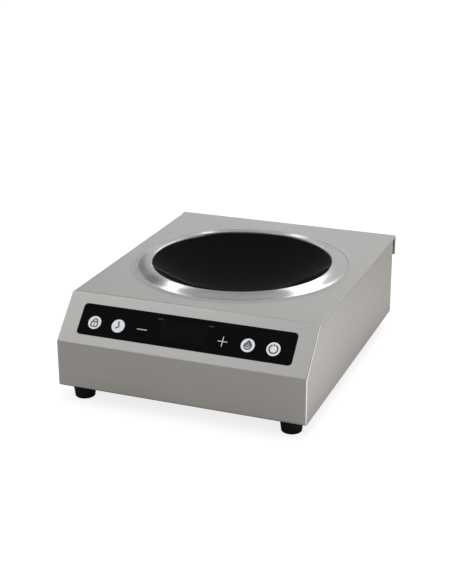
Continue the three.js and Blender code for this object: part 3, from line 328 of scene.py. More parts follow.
def slope_matrix(casing):
    """The slope's own frame: x across, y up the slope, z out of it"""
    rise = CASING_HIGH.z - CASING_LOW.z - casing.front_height
    origin = Vector((0, CASING_LOW.y, CASING_LOW.z + casing.front_height))
    return Matrix.Translation(origin) @ Matrix.Rotation(atan2(rise, casing.slope_run), 4, "X")


def slope_box(node, matrix):
    """Lowest and highest corner of a CAD node in the slope's own frame"""
    back = matrix.inverted()
    corners = [back @ v.co for v in frame["nodes"][node].data.vertices]
    return [Vector([pick(c[i] for c in corners) for i in range(3)]) for pick in (min, max)]


# ---------------------------------------------------------------------------
# Finishes
# ---------------------------------------------------------------------------


def set_input(graph, socket, value):
    """Links a socket, or sets its value"""
    if isinstance(value, bpy.types.NodeSocket):
        graph.tree.links.new(value, socket)
    else:
        socket.default_value = value


def rgba(colour):
    """A colour with full alpha"""
    return (colour[0], colour[1], colour[2], 1.0)


class Graph:
    """A node tree with short ways to add nodes and link them"""

    def __init__(self, tree):
        self.tree = tree

    def add(self, kind, inputs=None, **settings):
        node = self.tree.nodes.new(kind)
        for key, value in settings.items():
            setattr(node, key, value)
        for key, value in (inputs or {}).items():
            set_input(self, node.inputs[key], value)
        return node

    def math(self, operation, a, b=0.0):
        return self.add("ShaderNodeMath", {0: a, 1: b}, operation=operation).outputs[0]

    def scaled(self, value, factor, offset):
        return self.math("ADD", self.math("MULTIPLY", value, factor), offset)

    def vector(self, operation, a, b=(0, 0, 0), scale=1.0):
        inputs = {0: a, 1: b, 3: scale}  # only a SCALE node knows input 3 by its name, Scale
        return self.add("ShaderNodeVectorMath", inputs, operation=operation).outputs

    def span(self, value, low, high, start=0.0, end=1.0):
        inputs = {"Value": value, "From Min": start, "From Max": end, "To Min": low, "To Max": high}
        return self.add("ShaderNodeMapRange", inputs).outputs["Result"]

    def mix(self, factor, a, b):
        inputs = {"Factor": factor, "A": a, "B": b}
        return self.add("ShaderNodeMix", inputs, data_type="FLOAT").outputs["Result"]

    def place(self):
        return self.add("ShaderNodeTexCoord").outputs["Object"]

    def axis(self, vector, letter):
        return self.add("ShaderNodeSeparateXYZ", {0: vector}).outputs[letter]

    def noise(self, vector, scale, detail, roughness=0.5):
        inputs = {"Vector": vector, "Scale": scale, "Detail": detail, "Roughness": roughness}
        return self.add("ShaderNodeTexNoise", inputs).outputs["Fac"]

    def group(self, effect, **inputs):
        """A shared effect with its values set or linked, made the first time it is used"""
        name, given, made, build = effect
        tree = bpy.data.node_groups.get(name)
        if tree is None:
            tree = bpy.data.node_groups.new(name, "ShaderNodeTree")
            for direction, labels in (("INPUT", given), ("OUTPUT", made)):
                for label in labels:
                    kind = "NodeSocketColor" if label == "Colour" else "NodeSocketFloat"
                    tree.interface.new_socket(name=label, in_out=direction, socket_type=kind)
            inside = Graph(tree)
            results = build(inside, inside.add("NodeGroupInput").outputs)
            inside.add("NodeGroupOutput", results)
        inputs = {label.replace("_", " "): value for label, value in inputs.items()}
        return self.add("ShaderNodeGroup", inputs, node_tree=tree).outputs


def mottle_nodes(graph, given):
    """Slow changes of tone and roughness, as handling and cleaning leave them"""
    place, patches = graph.place(), given["Patches Per Metre"]
    slow = graph.noise(place, patches, 4.0, 0.6)
    quick = graph.noise(place, graph.math("MULTIPLY", patches, 5.3), 3.0, 0.55)
    tone = graph.math("MULTIPLY", graph.math("SUBTRACT", slow, 0.5), given["Tone Spread"])
    colour = graph.vector("SCALE", given["Colour"], scale=graph.scaled(tone, 2.0, 1.0))
    both = graph.math("SUBTRACT", graph.math("ADD", slow, quick), 1.0)
    rough = graph.scaled(both, given["Roughness Spread"], given["Roughness"])
    return {"Colour": colour[0], "Roughness": rough}


def straight_grain_nodes(graph, given):
    """Brushed grain that runs across the casing, and from front to back on its sides"""
    spot = graph.add("ShaderNodeTexCoord").outputs
    facing = graph.math("ABSOLUTE", graph.axis(spot["Normal"], "X"))
    along, across = given["Along"], given["Across"]
    levels = []
    for x, y in ((along, across), (across, along)):
        scale = graph.add("ShaderNodeCombineXYZ", {"X": x, "Y": y, "Z": across}).outputs[0]
        stretched = graph.vector("MULTIPLY", spot["Object"], scale)[0]
        levels.append(graph.noise(stretched, 1.0, 3.0, 0.65))
    level = graph.mix(graph.math("GREATER_THAN", facing, 0.7), levels[0], levels[1])
    return {"Tone": graph.span(level, -1.0, 1.0), "Height": level}


def spun_grain_nodes(graph, given):
    """Fine rings left by spinning and polishing about the piece's own axis"""
    flat = graph.vector("MULTIPLY", graph.place(), (1.0, 1.0, 0.0))[0]
    radius = graph.vector("LENGTH", flat)["Value"]
    way = graph.vector("NORMALIZE", flat)[0]
    turn = graph.vector("SCALE", way, scale=given["Along"])[0]
    rings = graph.math("MULTIPLY", radius, given["Across"])
    out = graph.add("ShaderNodeCombineXYZ", {"Z": rings}).outputs[0]
    level = graph.noise(graph.vector("ADD", turn, out)[0], 1.0, 3.0, 0.6)
    return {"Tone": graph.span(level, -1.0, 1.0), "Height": level}


def fine_texture_nodes(graph, given):
    """The fine random texture of moulded and cast surfaces"""
    return {"Height": graph.noise(graph.place(), given["Grains Per Metre"], 2.0)}


# Shared effects: name, inputs, outputs, and what fills them
MOTTLE = (
    "Mottle",
    ("Colour", "Tone Spread", "Roughness", "Roughness Spread", "Patches Per Metre"),
    ("Colour", "Roughness"),
    mottle_nodes,
)
STRAIGHT_GRAIN = ("Straight Grain", ("Along", "Across"), ("Tone", "Height"), straight_grain_nodes)
SPUN_GRAIN = ("Spun Grain", ("Along", "Across"), ("Tone", "Height"), spun_grain_nodes)
FINE_TEXTURE = ("Fine Texture", ("Grains Per Metre",), ("Height",), fine_texture_nodes)


def finish(build):
    """Lets a function that fills a material be called by name, and fills each material once"""

    def make(name, *values, **named):
        made = bpy.data.materials.get(name)
        if made is None:
            made = bpy.data.materials.new(name)
            made.use_nodes = True
            shader = made.node_tree.nodes["Principled BSDF"]
            build(Graph(made.node_tree), shader, *values, **named)
        return made

    return make


def set_sockets(shader, **sockets):
    """Sets uniform values on the shader's own sockets"""
    for label, value in sockets.items():
        shader.inputs[label.replace("_", " ")].default_value = value


def bumped(graph, shader, height, distance, strength):
    """Feeds a height into the shader's normal"""
    inputs = {"Height": height, "Distance": distance, "Strength": strength}
    set_input(graph, shader.inputs["Normal"], graph.add("ShaderNodeBump", inputs).outputs["Normal"])


def mottled(graph, shader, colour, roughness, tone, spread, patches):
    """Feeds slow changes of colour and roughness into the shader"""
    result = graph.group(
        MOTTLE,
        Colour=colour if isinstance(colour, bpy.types.NodeSocket) else rgba(colour),
        Tone_Spread=tone,
        Roughness=roughness,
        Roughness_Spread=spread,
        Patches_Per_Metre=patches,
    )
    set_input(graph, shader.inputs["Base Color"], result["Colour"])
    set_input(graph, shader.inputs["Roughness"], result["Roughness"])


def toned(graph, colour, tone, amount):
    """A colour made lighter and darker by a tone between -1 and 1"""
    return graph.vector("SCALE", colour[:3], scale=graph.scaled(tone, amount, 1.0))[0]


@finish
def brushed_steel(graph, shader, colour, roughness, grain=0.07):
    """Satin stainless sheet with a straight grain"""
    set_sockets(shader, Metallic=1.0)
    lines = graph.group(STRAIGHT_GRAIN, Along=9.0, Across=1500.0)
    tint = toned(graph, colour, lines["Tone"], grain)
    rough = graph.scaled(lines["Tone"], 0.05, roughness)
    mottled(graph, shader, tint, rough, tone=0.06, spread=0.07, patches=11.0)
    bumped(graph, shader, lines["Height"], 0.03 * MM, 0.35)


@finish
def spun_steel(graph, shader, colour, roughness, anisotropy):
    """Stainless steel polished in rings about its own axis"""
    set_sockets(shader, Metallic=1.0, Anisotropic=anisotropy, Anisotropic_Rotation=0.25)
    lines = graph.group(SPUN_GRAIN, Along=2.0, Across=1800.0)
    tint = toned(graph, colour, lines["Tone"], 0.06)
    rough = graph.scaled(lines["Tone"], 0.04, roughness)
    mottled(graph, shader, tint, rough, tone=0.03, spread=0.04, patches=12.0)
    bumped(graph, shader, lines["Height"], 0.02 * MM, 0.25)


@finish
def moulded(
    graph,
    shader,
    colour,
    roughness,
    grains=2500.0,
    depth=0.02 * MM,
    tone=0.08,
    spread=0.10,
    patches=30.0,
    strength=0.5,
    specular=0.5,
):
    """Moulded or cast material with a fine texture and slow changes of tone"""
    set_sockets(shader, Specular_IOR_Level=specular)
    mottled(graph, shader, colour, roughness, tone, spread, patches)
    texture = graph.group(FINE_TEXTURE, Grains_Per_Metre=grains)
    bumped(graph, shader, texture["Height"], depth, strength)


@finish
def galvanised_steel(graph, shader):
    """Zinc-coated sheet with its spangle"""
    set_sockets(shader, Metallic=1.0)
    cells = graph.add(
        "ShaderNodeTexVoronoi", {"Vector": graph.place(), "Scale": 140.0, "Randomness": 1.0}
    )
    grey = graph.add("ShaderNodeRGBToBW", {0: cells.outputs["Color"]}).outputs[0]
    tint = toned(graph, (0.50, 0.52, 0.53), graph.span(grey, -1.0, 1.0), 0.16)
    rough = graph.span(grey, 0.34, 0.52)
    mottled(graph, shader, tint, rough, tone=0.05, spread=0.08, patches=14.0)
    bumped(graph, shader, grey, 0.04 * MM, 0.4)


@finish
def banded(graph, shader, first, second, roughness, across, axis, metallic=0.0):
    """Parallel strands or tracks in two tones"""
    set_sockets(shader, Metallic=metallic)
    wave = graph.add(
        "ShaderNodeTexWave",
        {
            "Vector": graph.place(),
            "Scale": across,
            "Distortion": 1.2,
            "Detail": 1.5,
            "Detail Scale": 0.6,
        },
        wave_type="BANDS",
        bands_direction=axis,
    ).outputs["Fac"]
    tint = graph.add(
        "ShaderNodeMix", {"Factor": wave, "A": rgba(first), "B": rgba(second)}, data_type="RGBA"
    ).outputs["Result"]
    mottled(graph, shader, tint, roughness, tone=0.06, spread=0.08, patches=25.0)
    bumped(graph, shader, wave, 0.1 * MM, 0.4)


@finish
def black_glass(graph, shader, colour):
    """Black glass-ceramic, polished, with faint slow ripples from rolling"""
    set_sockets(shader, Specular_IOR_Level=0.35, IOR=1.45)
    mottled(graph, shader, colour, 0.07, tone=0.10, spread=0.05, patches=26.0)
    bumped(graph, shader, graph.noise(graph.place(), 38.0, 1.0), 0.15 * MM, 0.15)


@finish
def black_acrylic(graph, shader, colour):
    """Glossy black acrylic with fine wiping marks"""
    set_sockets(shader, Specular_IOR_Level=0.14)
    wipe = graph.group(STRAIGHT_GRAIN, Along=25.0, Across=700.0)
    rough = graph.scaled(wipe["Tone"], 0.03, 0.12)
    mottled(graph, shader, colour, rough, tone=0.08, spread=0.05, patches=22.0)
    bumped(graph, shader, wipe["Height"], 0.004 * MM, 0.3)


# Finishes of the CAD nodes, by material slot: what makes them, their name, and its values
INNER_FINISHES = {
    "brushed_steel": (brushed_steel, "Brushed Inner Steel", (0.52, 0.52, 0.50), 0.38),
    "polished_steel": (spun_steel, "Screw Steel", (0.74, 0.74, 0.73), 0.2, 0.3),
    "galvanised": (galvanised_steel, "Galvanised Sheet"),
    "silicone": (moulded, "Silicone", (0.02, 0.02, 0.02), 0.62, 1800.0),
    "rubber": (moulded, "Inner Rubber", (0.014, 0.014, 0.014), 0.7, 1500.0),
    "mica": (moulded, "Mica", (0.52, 0.46, 0.35), 0.7, 600.0, 0.08 * MM, 0.16),
    "copper": (
        banded, "Litz Wire", (0.42, 0.16, 0.07), (0.62, 0.29, 0.15), 0.35, 260.0, "DIAGONAL", 1.0
    ),
    "black_plastic": (moulded, "Black Moulding", (0.018, 0.018, 0.019), 0.45),
    "ferrite": (moulded, "Ferrite", (0.035, 0.035, 0.04), 0.5, 900.0, 0.04 * MM),
    "aluminium": (brushed_steel, "Aluminium", (0.66, 0.67, 0.68), 0.42, 0.05),
    "ceramic": (moulded, "Ceramic", (0.66, 0.64, 0.58), 0.6, 1200.0),
    "capacitor": (moulded, "Capacitor Case", (0.012, 0.05, 0.17), 0.3, 1600.0),
    "circuit_board": (
        banded, "Solder Mask", (0.008, 0.07, 0.022), (0.014, 0.11, 0.035), 0.35, 90.0, "X"
    ),
    "fascia": (moulded, "Inner Acrylic", (0.006, 0.006, 0.007), 0.2, 900.0, 0.004 * MM),
    "key_white": (moulded, "Inner Key", (0.72, 0.75, 0.78), 0.35),
    "glass_ceramic": (moulded, "Inner Glass", (0.005, 0.005, 0.005), 0.1),
    "cable": (banded, "Ribbon Cable", (0.30, 0.30, 0.29), (0.20, 0.20, 0.20), 0.5, 400.0, "X"),
}


def inner_finish(slot):
    """The finish of a CAD node, by its material slot"""
    make, *values = INNER_FINISHES[slot]
    return make(*values)


# ---------------------------------------------------------------------------
# Casing
# ---------------------------------------------------------------------------

BEND_STEPS = 6
EDGE_STEPS = 5
MIDDLE = EDGE_STEPS + 1  # a row's vertex in the casing's middle plane
MIDDLE_SPAN = slice(MIDDLE - 1, MIDDLE + 2)
RELIEF = 1.5 * MM  # how far behind the rear wall the side edges keep the fold's radius
COLLAR_CREST = 0.6 * MM  # from the ring's rim out to the crest of the collar
CORNER_BELOW, CORNER_BEHIND = 6 * MM, 4 * MM  # radii of the openings' corners


def direction(corners, i):
    """Direction from one corner to the next in y and z"""
    return (Vector(corners[i + 1][:2]) - Vector(corners[i][:2])).normalized()


def bend_path(corners):
    """Points and outward normals in y and z along an open outline of convex corners"""
    path = []
    last = len(corners) - 1
    for i, (y, z, radius) in enumerate(corners):
        here = Vector((y, z))
        ahead = direction(corners, min(i, last - 1))
        behind = direction(corners, max(i - 1, 0))
        first = Vector((behind.y, -behind.x))
        second = Vector((ahead.y, -ahead.x))
        if not radius:
            path.append((here, second if i == 0 else first))
            continue
        turn = first.angle(second)
        centre = here - behind * radius * tan(turn / 2) - first * radius
        for k in range(BEND_STEPS + 1):
            normal = Matrix.Rotation(turn * k / BEND_STEPS, 2) @ first
            path.append((centre + normal * radius, normal))
    return path


def casing_sections(bm, path, half, edges):
    """Rows of vertices across the casing, one row for each point of the path and edge radius"""
    rows = []
    for (point, normal), edge in zip(path, edges):
        arcs = {}
        for side in (-1, 1):
            arcs[side] = []
            for k in range(1, EDGE_STEPS + 1):
                angle = pi / 2 * k / EDGE_STEPS
                low = point - normal * edge * (1 - cos(angle))
                arcs[side].append(bm.verts.new((side * (half - edge + edge * sin(angle)), *low)))
        flat = [bm.verts.new((x, *point)) for x in (edge - half, 0, half - edge)]
        rows.append(arcs[-1][::-1] + flat + arcs[1])
    return rows


def windowed(bm, far, near, right, left):
    """Two flat faces that surround a window; far and near are (left, middle, right) vertices"""
    return [
        bm.faces.new([far[1], far[2], near[2], near[1]] + right[::-1]),
        bm.faces.new([far[1], far[0], near[0], near[1]] + left[::-1]),
    ]


def window_edge(bm, halves, place):
    """Vertices of a window's right and left halves; place gives a point's seat in the casing"""
    right = [bm.verts.new(place(p)) for p in halves[0]]
    left = [right[0]] + [bm.verts.new(place(p)) for p in halves[1][1:-1]] + [right[-1]]
    return right, left


def pressed_collar(bm, top, settings, count):
    """Rings of faces from the flat top in to the hole; returns the outermost ring's vertices"""
    outer, rise = settings.collar, settings.collar_rise
    crest = RING_OUTER + COLLAR_CREST
    low = -0.02 * MM
    profile = [(outer, 0)]
    for k in range(1, 7):
        t = k / 6
        profile.append((outer + (crest - outer) * t, rise * (3 * t**2 - 2 * t**3)))
    profile += [(RING_OUTER + 0.3 * MM, rise * 0.9), (RING_OUTER + 0.12 * MM, 0)]
    profile += [(RING_OUTER - 1 * MM, low), (settings.hole, low)]
    loops = []
    for radius, height in profile:
        angles = [pi / 2 - angle for angle in even_angles(count)]
        loops.append([RING_AXIS + polar(radius, angle, top + height) for angle in angles])
    return loft(bm, loops)[0]


class HOB_OT_casing(bpy.types.Operator):
    """Builds the folded steel casing with its slope, flanges, collar and rear lip"""

    bl_idname = "hob.casing"
    bl_label = "Build Casing"

    def execute(self, context):
        settings = context.scene.hob_casing
        sheet, bend, edge, fold = settings.sheet, settings.bend, settings.edge, settings.fold
        half = CASING_HIGH.x
        front, lip = CASING_LOW.y, CASING_HIGH.y
        under, top = CASING_LOW.z, CASING_HIGH.z
        rear = PANEL_HIGH.y + GAP + sheet
        flange = settings.bottom_flange
        path = bend_path([(lip, top - settings.lip_drop, 0), (lip, top, bend), (rear + RELIEF, top, 0)])
        at_rear = len(path)
        path += bend_path(
            [
                (rear, top, 0),
                (front + settings.slope_run, top, settings.slope_bend),
                (front, under + settings.front_height, bend),
                (front, under, bend),
                (front + flange, under, 0),
            ]
        )[:-1]
        edges = [edge] * (at_rear - 1) + [fold] * 2
        edges += [fold + (edge - fold) * k / BEND_STEPS for k in range(BEND_STEPS + 1)]
        edges += [edge] * (len(path) - len(edges))
        slope_start = at_rear + 1 + BEND_STEPS
        bm = bmesh.new()
        rows = casing_sections(bm, path, half, edges)
        # Faces of the ground edges along slope, front and flange; their lighter steel is a painted
        # highlight.
        ground = []
        for i, (row, after) in enumerate(zip(rows, rows[1:])):
            for j in range(len(row) - 1):
                if i in (at_rear, slope_start) and j in (MIDDLE - 1, MIDDLE):
                    continue
                face = bm.faces.new((row[j], row[j + 1], after[j + 1], after[j]))
                if i > at_rear + 3 and not MIDDLE - 1 <= j <= MIDDLE:
                    ground.append(face)
        self.close_top(bm, rows[at_rear], rows[at_rear + 1], context.scene, top)
        self.close_slope(bm, rows[slope_start], rows[slope_start + 1], context.scene)

        # Sides, and the flanges under them
        last = rows[-1]
        back = [bm.verts.new((v.co.x, rear, v.co.z)) for v in last]
        for j in range(len(last) - 1):
            if j not in (MIDDLE - 1, MIDDLE):
                bm.faces.new((last[j], last[j + 1], back[j + 1], back[j]))
        for j in (0, len(last) - 1):
            bm.faces.new([row[j] for row in rows[at_rear:]] + [back[j]])
        size = (2 * (half - flange), rear - front - 2 * flange)
        halves = rounded_rectangle(*size, CORNER_BELOW, (0, (front + rear) / 2))
        edge_below = window_edge(bm, halves, lambda p: (p.x, p.y, under))
        windowed(bm, back[MIDDLE_SPAN], last[MIDDLE_SPAN], *edge_below)
        bmesh.ops.recalc_face_normals(bm, faces=bm.faces)
        if next(f for f in bm.faces if f.calc_center_median().z > top - 1e-6).normal.z < 0:
            bmesh.ops.reverse_faces(bm, faces=bm.faces)

        # Frame welded in behind, round the rear panel's opening
        size = (2 * (half - settings.rear_flange), top - under - 2 * settings.rear_flange)
        halves = rounded_rectangle(*size, CORNER_BEHIND, (0, (top + under) / 2))
        edge_behind = window_edge(bm, halves, lambda p: (p.x, rear, p.y))
        far = [bm.verts.new((x, rear, top - sheet)) for x in (fold - half, 0, half - fold)]
        near = [bm.verts.new((x, rear, under + sheet)) for x in (sheet - half, 0, half - sheet)]
        for face in windowed(bm, far, near, *edge_behind):
            face.normal_update()
            if face.normal.y < 0:
                face.normal_flip()
        # The ground edges take the lighter steel, which is a painted highlight.
        for face in ground:
            face.material_index = 1
        self.thickened(bm, settings)
        return {"FINISHED"}

    def close_top(self, bm, far, near, scene, top):
        """The flat top round the pressed collar and its hole"""
        count = scene.hob_glass.segments
        ring = pressed_collar(bm, top, scene.hob_casing, count)
        right = ring[: count // 2 + 1]
        left = [ring[0]] + ring[: count // 2 - 1 : -1]
        windowed(bm, far[MIDDLE_SPAN], near[MIDDLE_SPAN], right, left)

    def close_slope(self, bm, far, near, scene):
        """The slope round the window for the control strip"""
        controls = scene.hob_controls
        matrix = slope_matrix(scene.hob_casing)
        size = (controls.width + 2 * GAP, controls.height + 2 * GAP, controls.corner + GAP)
        halves = rounded_rectangle(*size, (0, controls.middle))
        edge = window_edge(bm, halves, lambda p: matrix @ Vector((p.x, p.y, 0)))
        windowed(bm, far[MIDDLE_SPAN], near[MIDDLE_SPAN], *edge)

    def thickened(self, bm, settings):
        """Gives the folded surface its sheet thickness and makes it a piece"""
        surface = bpy.data.meshes.new("casing_surface")
        bm.to_mesh(surface)
        bm.free()
        surface.materials.append(brushed_steel("Brushed Steel", settings.steel, 0.36))
        # The ground edges' lower roughness is real; their lighter colour is a painted highlight.
        surface.materials.append(brushed_steel("Ground Edge", settings.edge_steel, 0.24, 0.1))
        helper = bpy.data.objects.new("casing_surface", surface)
        thicken = helper.modifiers.new("Sheet Thickness", "SOLIDIFY")
        thicken.thickness = settings.sheet
        thicken.offset = -1
        thicken.use_even_offset = True
        mesh = taken_mesh(helper)
        bpy.data.meshes.remove(surface)
        finished("casing_sheet", mesh, HOB, ["outer_casing"], 95)


# ---------------------------------------------------------------------------
# Glass and ring
# ---------------------------------------------------------------------------

GLASS_STEPS = 40
GLASS_CENTRE_ANGLE = 0.012  # radians from the axis to the first ring of points
RING_STEPS = 24
RING_NOSE_WIDTH, RING_NOSE_HEIGHT = 2.2 * MM, 1.4 * MM  # from the crest in to the sight line
RING_HOLLOW = 2.6 * MM  # from the sight line to the top of the hollow under the ring
RING_SHEET = 1.05 * MM  # from the crest down to that hollow


class HOB_OT_glass_and_ring(bpy.types.Operator):
    """Builds the dished glass plate and the spun ring that holds it"""

    bl_idname = "hob.glass_and_ring"
    bl_label = "Build Glass and Ring"

    def execute(self, context):
        settings = context.scene.hob_glass
        self.build_glass(settings)
        self.build_ring(settings)
        return {"FINISHED"}

    def build_glass(self, settings):
        sphere, thickness = settings.sphere, settings.thickness
        centre = GLASS_LOW.z + thickness + sphere
        edge_angle = asin((settings.sight + settings.under_ring) / sphere)

        def sphere_point(radius, angle):
            return (radius * sin(angle), centre - radius * cos(angle))

        sweep = edge_angle - GLASS_CENTRE_ANGLE
        angles = [GLASS_CENTRE_ANGLE + sweep * k / GLASS_STEPS for k in range(GLASS_STEPS + 1)]
        profile = [sphere_point(sphere, angle) for angle in angles]
        for k in range(1, 6):
            turn = pi * k / 6
            angle = edge_angle + 0.35 * thickness * sin(turn) / sphere
            profile.append(sphere_point(sphere + thickness / 2 * (1 - cos(turn)), angle))
        profile += [sphere_point(sphere + thickness, angle) for angle in reversed(angles)]
        bm = bmesh.new()
        turned(bm, profile, settings.segments)
        place = Matrix.Translation(RING_AXIS)
        glass = black_glass("Glass Ceramic", settings.glass)
        piece("glass_plate", bm, glass, HOB, ["glass_bowl"], place)

    def build_ring(self, settings):
        sight, sphere = settings.sight, settings.sphere
        foot, crest = RING_LOW.z, RING_HIGH.z
        glass_here = GLASS_LOW.z + settings.thickness + sphere - sqrt(sphere**2 - sight**2)
        lip = glass_here + 0.4 * MM
        start = Vector((RING_OUTER - 0.15 * MM, foot + 0.22 * MM))
        peak = Vector((sight + RING_NOSE_WIDTH, crest))
        # Handles of the curve from the rim up to the crest
        leave = start - Vector((5.5 * MM, 0))
        arrive = peak + Vector((10 * MM, -0.35 * MM))
        profile = [(start.x, foot), (RING_OUTER, foot + 0.1 * MM)]
        for k in range(RING_STEPS + 1):
            t = k / RING_STEPS
            u = 1 - t
            p = start * u**3 + leave * 3 * u**2 * t + arrive * 3 * u * t**2 + peak * t**3
            profile.append(tuple(p))
        for k in range(1, 9):
            angle = pi / 2 * k / 8
            across, down = RING_NOSE_WIDTH * sin(angle), RING_NOSE_HEIGHT * (1 - cos(angle))
            profile.append((peak.x - across, crest - down))
        profile += [(sight, lip + 0.2 * MM), (sight + 0.2 * MM, lip), (sight + 0.8 * MM, lip + 0.3 * MM)]
        profile.append((sight + 1.2 * MM, crest - 1.6 * MM))
        inner = Vector((RING_OUTER - 2.5 * MM, foot))
        hollow = Vector((sight + RING_HOLLOW, crest - RING_SHEET))
        bulge = Vector(((inner.x + hollow.x) / 2, inner.y + (hollow.y - inner.y) * 0.8))
        profile += [tuple(p) for p in parabola(hollow, bulge, inner, 12)]
        bm = bmesh.new()
        turned(bm, profile, settings.segments, capped=False)
        steel = spun_steel("Spun Steel", settings.ring, 0.24, 0.95)
        piece("spun_ring", bm, steel, HOB, ["trim_ring"]).location = RING_AXIS


# ---------------------------------------------------------------------------
# Control strip and keys
# ---------------------------------------------------------------------------

# Edge sections in millimetres: how far out from the outline or the hole, and height over the slope
STRIP_EDGE = ((-0.35, 0), (-0.12, -0.08), (0, -0.35), (0, -1.5), (4, -1.5), (4, -3.5))
HOLE_EDGE = ((0.2, 0), (0.06, -0.06), (0, -0.2), (0, -3.5))
INLAY_EDGE = ((0, -0.15), (0, 0.02), (-0.15, 0.05))
HOLE_SIDES = 48
# Inlays in millimetres: name, x from the display, y from the strip's middle, width, height, corner
INLAYS = (
    ("display_window", 0, 1, 62, 26, 2),
    ("lamp_left", -34, 14.1, 8, 2.2, 1),
    ("lamp_right", 36, 14.1, 8, 2.2, 1),
)


def key_size(controls, name):
    """Radius of a key"""
    return controls.sign_key_radius if name in SIGN_KEYS else controls.key_radius


class HOB_OT_control_strip(bpy.types.Operator):
    """Builds the black strip in the slope, its display window and its lamps"""

    bl_idname = "hob.control_strip"
    bl_label = "Build Control Strip"

    def execute(self, context):
        controls = context.scene.hob_controls
        matrix = slope_matrix(context.scene.hob_casing)
        self.build_strip(controls, matrix)
        self.build_inlays(controls, matrix)
        return {"FINISHED"}

    def build_strip(self, controls, matrix):
        bm = bmesh.new()
        boxes = {name: slope_box(name, matrix) for name in KEYS}
        low, high = boxes[KEYS[-1]]
        line = (low.y + high.y) / 2
        outlines = []
        for growth, z in STRIP_EDGE:
            growth *= MM
            size = (controls.width + 2 * growth, controls.height + 2 * growth)
            halves = rounded_rectangle(*size, controls.corner + growth, (0, controls.middle))
            side = size[0] / 2
            right, left = (with_point(half, (x, line)) for half, x in zip(halves, (side, -side)))
            outlines.append([bm.verts.new((*p, z * MM)) for p in whole_outline(right, left)])
        joined(bm, outlines)
        rims = []
        for name, (low, high) in boxes.items():
            middle = Vector(((low.x + high.x) / 2, line, 0))
            radius = key_size(controls, name) + controls.clearance
            loops = []
            for growth, z in HOLE_EDGE:
                circle = circle_loop(radius + growth * MM, z * MM, HOLE_SIDES)
                loops.append([bm.verts.new(middle + p) for p in circle])
            joined(bm, loops)
            rims.insert(0, loops)
        for which in (0, -1):
            outline = outlines[which]
            total = len(outline)
            right = nearest(outline, max(v.co.x for v in outline), line)
            left = nearest(outline, min(v.co.x for v in outline), line)
            upper = [outline[(left + k) % total] for k in range((right - left) % total + 1)]
            lower = [outline[(left - k) % total] for k in range((left - right) % total + 1)]
            for loops in rims:
                upper += [loops[which][k % HOLE_SIDES] for k in range(HOLE_SIDES // 2 + 1)]
                lower += [loops[which][-k % HOLE_SIDES] for k in range(HOLE_SIDES // 2 + 1)]
            bm.faces.new(upper)
            bm.faces.new(lower)
        acrylic = black_acrylic("Black Acrylic", controls.strip)
        piece("control_strip", bm, acrylic, HOB, ["control_fascia"], matrix)

    def build_inlays(self, controls, matrix):
        window = moulded(
            "Smoked Window",
            (0.0046, 0.0046, 0.0052),
            roughness=0.1,
            grains=900.0,
            depth=0.003 * MM,
            tone=0.1,
            spread=0.04,
            patches=40.0,
            strength=0.3,
            specular=0.2,
        )
        lamp = moulded("Lamp Lens", (0.028, 0.028, 0.026), 0.3, 2000.0)
        low, high = slope_box("display_module", matrix)
        for name, *sizes in INLAYS:
            x, y, width, height, corner = (size * MM for size in sizes)
            middle = ((low.x + high.x) / 2 + x, controls.middle + y)
            loops = []
            for growth, z in INLAY_EDGE:
                growth *= MM
                size = (width + 2 * growth, height + 2 * growth, corner + growth)
                outline = whole_outline(*rounded_rectangle(*size, middle))
                loops.append([Vector((*p, z * MM)) for p in outline])
            bm = bmesh.new()
            loft(bm, loops, True, True)
            material = window if name == "display_window" else lamp
            piece(name, bm, material, HOB, (), matrix)


def with_point(points, extra):
    """The half outline with one more point where it crosses the key line"""
    result = []
    for first, second in zip(points, points[1:]):
        result.append(first)
        if (first.y - extra[1]) * (second.y - extra[1]) < 0:
            result.append(Vector(extra))
    return result + [points[-1]]


def nearest(loop, x, y):
    """Index of the vertex nearest to a point"""
    return min(range(len(loop)), key=lambda i: hypot(loop[i].co.x - x, loop[i].co.y - y))


def arc_points(radius, start, end, steps, middle=(0.0, 0.0)):
    """Points along an arc, angles in degrees"""
    points = []
    for k in range(steps + 1):
        angle = radians(start + (end - start) * k / steps)
        points.append((middle[0] + radius * cos(angle), middle[1] + radius * sin(angle)))
    return points


# A flame with its tip up, one unit high
FLAME = (
    (0.0, 1.0), (0.16, 0.74), (0.40, 0.46), (0.58, 0.14), (0.62, -0.20), (0.50, -0.55),
    (0.26, -0.80), (0.0, -0.88), (-0.26, -0.80), (-0.50, -0.55), (-0.62, -0.20), (-0.54, 0.10),
    (-0.40, 0.30), (-0.28, 0.20), (-0.22, 0.42), (-0.10, 0.72),
)
LOCK_BODY = [tuple(p) for p in whole_outline(*rounded_rectangle(8.6, 6.6, 1.4, (0, -2.0)))]
# Signs in millimetres: strokes with their points, radius, and whether they close
SIGNS = {
    "key_minus": [([(-7.0, 0), (7.0, 0)], 0.6, False)],
    "key_plus": [([(-6.4, 0), (6.4, 0)], 0.6, False), ([(0, -6.8), (0, 6.8)], 0.6, False)],
    "key_timer": [([(-0.7, 6.0), (1.2, -0.8), (-3.2, -3.3)], 1.05, False)],
    "key_power": [(arc_points(5.5, 114, 426, 48), 0.95, False), ([(0, 6.6), (0, 4.0)], 1.1, False)],
    "key_lock": [
        (arc_points(2.9, -8, 188, 20, (0.5, 2.3)), 0.85, False),
        (LOCK_BODY, 0.85, True),
        ([(0, -1.0), (0, -3.0)], 0.9, False),
    ],
    "key_heat": [
        ([(x * size * 1.25, y * size + lift) for x, y in FLAME], 0.95, True)
        for size, lift in ((6.2, 0.3), (4.2, 1.9), (2.2, 3.2))
    ],
}
SIGN_FLATNESS = 0.12
KEY_DISH = 0.12 * MM
KEY_EDGE = 0.45 * MM
FLANGE_TOP = -3.8 * MM  # just under the strip
FLANGE_REACH = 2 * MM  # past the key's side
# In millimetres: out from the flange's rim, or from the axis, and up from the flange's top
FLANGE_PROFILE = ((-0.2, 0), (0, -0.2), (0, -1.0), (-0.2, -1.2))
STEM_PROFILE = ((2.7, -1.2), (2.5, -1.4))


